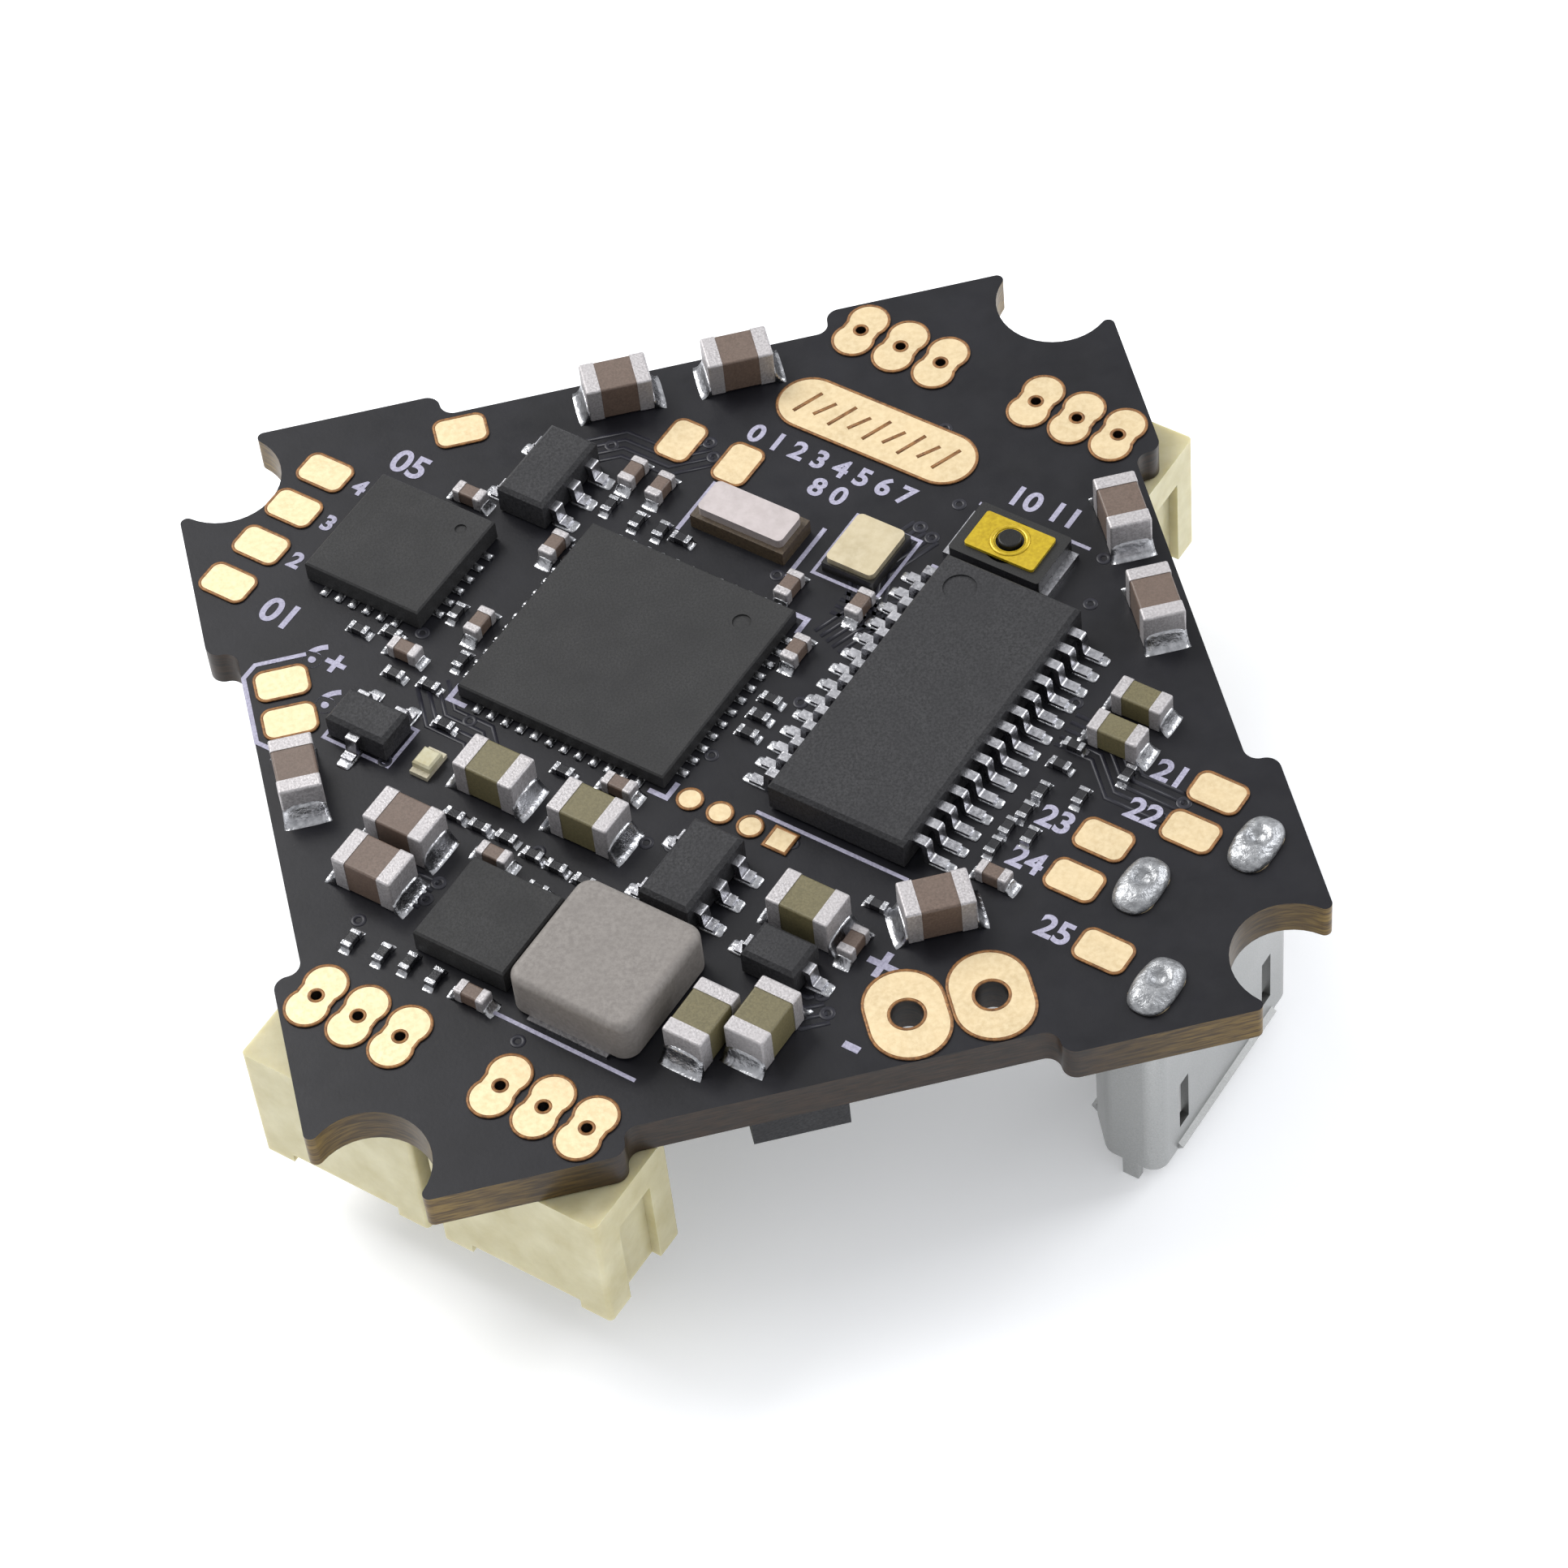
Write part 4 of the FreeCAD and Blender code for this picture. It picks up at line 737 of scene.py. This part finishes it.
# Bundles of traces: the start u, v, the heading, runs of length in mm and the turn after each in degrees,
# how many lie side by side, and their pitch in mm.
TRACES = [
    (1.6, 3.1, math.radians(25), ((1.6, 45), (1.9, -45), (1.8, 0)), 5, 0.27),
    (0.6, 4.3, math.radians(-45), ((1.4, 45), (1.5, -45), (2.2, 0)), 4, 0.27),
    (-8.3, -3.8, math.radians(-90), ((1.5, 45), (1.3, -45), (1.4, 0)), 4, 0.3),
    (8.7, 3.2, math.radians(-45), ((1.2, -45), (1.4, 45), (2.0, 0)), 5, 0.3),
    (-9.6, 4.9, math.radians(0), ((2.2, -45), (1.6, 45), (1.5, 0)), 4, 0.3),
    (-6.6, -9.0, math.radians(-90), ((1.8, 45), (1.6, 0)), 4, 0.32),
    (6.2, -8.6, math.radians(-45), ((1.5, 45), (0.8, 0)), 4, 0.32),
]


def print_on_board():
    """Silk lines and generic numerals in the photograph's places."""
    work = bmesh.new()
    micro = frame_round(islands("microcontroller_body")[0], ALONG_U, 0.22 * MM)
    for n in (0, 1, 2):
        corner = micro[n]
        before, after = micro[n - 1], micro[(n + 1) % 4]
        arms = [corner + (other - corner).normalized() * 0.6 * MM for other in (before, after)]
        add_line(work, [arms[0], corner, arms[1]], 0.16)
    for node, margin in (("display_crystal_base", 0.2), ("transistor_body", 0.12)):
        add_line(work, frame_round(islands(node)[0], ALONG_U, margin * MM), 0.11, closed=True)
    for node, margin, width, sides in PRINTED_SIDES:
        corners = frame_round(islands(node)[0], ALONG_U, margin * MM)
        for first, second in sides:
            add_line(work, [corners[first], corners[second]], width)
    add_line(work, pad_bracket(), 0.14)
    for text, u, v, height in LABELS:
        add_label(work, text, grid(u, v, TOP), -math.pi / 4, height * MM)
    return piece("printed_marks", work, SILK, smooth=False)


def add_line(work, points, width_mm, closed=False):
    """A printed line on the board."""
    add_ribbon(work, points, width_mm * MM, TOP - INK, TOP + INK, closed)


def pad_bracket():
    """The line round the outer side of the two bare pads on the left edge."""
    spots = [centre(points) for points in islands("signal_pads")]
    pads = [spot for spot in spots if spot.x < -0.85 * HALF and abs(spot.y) < 0.4 * HALF]
    corners = frame_round(pads, Vector((1, 0, 0)), 1.05 * MM)
    left, right = corners[0].x, corners[1].x - 0.2 * MM
    low, high = corners[0].y + 0.15 * MM, corners[2].y - 0.15 * MM
    cut = 0.4 * MM
    path = ((right, high), (left + cut, high), (left, high - cut), (left, low + cut), (left + cut, low))
    return [Vector((x, y, 0)) for x, y in path]


def lay_traces():
    """Copper under the mask: bundles of fine traces that turn by 45 degrees, and vias."""
    work = bmesh.new()
    for u, v, heading, runs, count, pitch in TRACES:
        path = [grid(u, v)]
        for run, turn in runs:
            way = Vector((math.cos(heading), math.sin(heading), 0))
            path.append(path[-1] + way * run * MM)
            heading += math.radians(turn)
        for n in range(count):
            shifted = offset_path(path, n * pitch * MM, False)
            add_ribbon(work, shifted, TRACE_WIDTH, TOP - INK, TOP + 0.9 * INK)
            if n % 2:
                add_ring(work, shifted[-1] + Vector((0, 0, TOP)), VIA_HOLE, END_VIA_RADIUS, VIA_HEIGHT)
    add_vias(work)
    return piece("traces_under_mask", work, MASK)


def add_vias(work):
    """Vias on both faces at random places, clear of the print and of the board's corners."""
    printed = [grid(u, v, TOP) for _, u, v, _ in LABELS]
    for _ in range(VIA_TRIES):
        x = random.uniform(-VIA_SPREAD, VIA_SPREAD)
        y = random.uniform(-VIA_SPREAD, VIA_SPREAD)
        spot = Vector((x, y, TOP))
        clear = min((spot - place).length for place in printed) > VIA_TO_PRINT
        if clear and abs(x) + abs(y) < VIA_TO_CORNERS:
            add_ring(work, spot, VIA_HOLE, VIA_RADIUS, VIA_HEIGHT)
            add_ring(work, Vector((-x, y, UNDER)), VIA_HOLE, VIA_RADIUS, -VIA_HEIGHT)


def shade_pad_edges():
    """A thin copper-brown outline round every bare pad and its hole, painted shade in place of the shading
    at the pads' edges.
    """
    work = bmesh.new()
    for node in ("signal_pads", "motor_pads", "battery_pads", "test_pads", "copper_patch"):
        for loop in top_loops(node):
            flat = [Vector((point.x, point.y, 0)) for point in loop]
            add_ribbon(work, flat, PAD_EDGE_SHADE_WIDTH, PAD_TOP - 0.03 * MM, PAD_TOP + 0.004 * MM, closed=True)
    return piece("painted_pad_edge_shade", work, PAD_EDGE_SHADE_AND_ETCH)


def mark_patch():
    """A plain row of slanted bars etched on the gold patch."""
    work = bmesh.new()
    points = islands("copper_patch")[0]
    first, last = reach(points, ALONG_U)
    middle = centre(points)
    for n in range(BAR_COUNT):
        along = first + (last - first) * (n + 1.5) / (BAR_COUNT + 2)
        spot = ALONG_U * along + ALONG_V * middle.dot(ALONG_V)
        half = (0.34 if n % 2 else 0.5) * MM
        lean = ALONG_U * 0.2 * MM
        path = [spot - ALONG_V * half - lean, spot, spot + ALONG_V * half + lean]
        add_ribbon(work, path, BAR_WIDTH, PAD_TOP - INK, PAD_TOP + 0.4 * INK)
    return piece("patch_bars", work, PAD_EDGE_SHADE_AND_ETCH)


def emboss_film():
    """The pressed ring in the button's film, round the plunger."""
    work = bmesh.new()
    here = centre(islands("boot_button_cover")[0])
    middle = Vector((here.x, here.y, COVER_TOP))
    add_ring(work, middle, FILM_RING_INNER, FILM_RING_OUTER, FILM_RING_HEIGHT, segments=40)
    return piece("film_ring", work, FILM)


# Light, floor and camera.

SKY_STRENGTH = 0.74
FLOOR_GLOW = 0.26
FLOOR_HALF = 2.0

# Area lights: the name, place and size in metres, power in watts and colour.
LAMPS = (
    ("key", (-0.16, 0.20, 0.26), 0.22, 1.25, (1.0, 0.99, 0.97)),
    ("side", (0.26, 0.06, 0.18), 0.16, 0.45, (0.97, 0.98, 1.0)),
)


def studio():
    """A pale sky, with a soft key light from behind on the left and a weaker one at the right."""
    world = bpy.data.worlds.new("studio")
    bpy.context.scene.world = world
    world.use_nodes = True
    background = world.node_tree.nodes["Background"]
    background.inputs["Color"].default_value = (0.97, 0.98, 1.0, 1)
    background.inputs["Strength"].default_value = SKY_STRENGTH
    target = Vector((0, 0, TOP))
    for name, spot, size, power, colour in LAMPS:
        data = bpy.data.lights.new(name, "AREA")
        data.size = size
        data.energy = power
        data.color = colour
        lamp = bpy.data.objects.new(name, data)
        bpy.context.collection.objects.link(lamp)
        lamp.location = spot
        lamp.rotation_euler = (target - Vector(spot)).to_track_quat("-Z", "Y").to_euler()


def floor_material():
    """Bright white paper that glows faintly, so that its shadows stay pale."""
    made = grained("white_floor", (0.88, 0.89, 0.91), (0.93, 0.935, 0.95), 30.0, 0.7, depth_mm=0.01)
    shader = made.node_tree.nodes["Principled BSDF"]
    shader.inputs["Emission Color"].default_value = (0.97, 0.985, 1.0, 1)
    shader.inputs["Emission Strength"].default_value = FLOOR_GLOW
    return made


def make_floor():
    """A broad pale floor just under the USB shell."""
    work = bmesh.new()
    corners = [(FLOOR_HALF * x, FLOOR_HALF * y) for x, y in ((-1, -1), (1, -1), (1, 1), (-1, 1))]
    work.faces.new([work.verts.new((x, y, LOWEST - 0.02 * MM)) for x, y in corners])
    mesh = bpy.data.meshes.new("floor")
    work.to_mesh(mesh)
    work.free()
    mesh.materials.append(floor_material())
    floor = bpy.data.objects.new("floor", mesh)
    bpy.context.collection.objects.link(floor)


def make_camera():
    """A long lens at the photograph's angle, rolled a little."""
    azimuth = math.radians(-7.535)
    elevation = math.radians(51.306)
    roll = math.radians(6.672)
    distance = 138.7 * MM
    aim = Vector((0.782 * MM, -3.181 * MM, TOP))
    level = math.cos(elevation)
    back = Vector((math.sin(azimuth) * level, -math.cos(azimuth) * level, math.sin(elevation)))
    data = bpy.data.cameras.new("camera")
    data.lens = 113.94
    data.sensor_width = 36
    data.clip_start = 0.005
    data.clip_end = 20
    camera = bpy.data.objects.new("camera", data)
    bpy.context.collection.objects.link(camera)
    turn = back.to_track_quat("Z", "Y").to_matrix().to_4x4() @ Matrix.Rotation(-roll, 4, "Z")
    camera.matrix_world = Matrix.Translation(aim + back * distance) @ turn
    bpy.context.scene.camera = camera


dress_nodes()
solder_on_ends()
solder_on_leads()
solder_on_lands()
solder_on_usb_legs()
print_on_board()
lay_traces()
shade_pad_edges()
mark_patch()
emboss_film()
studio()
make_floor()
make_camera()
bpy.context.scene.view_settings.view_transform = "Standard"
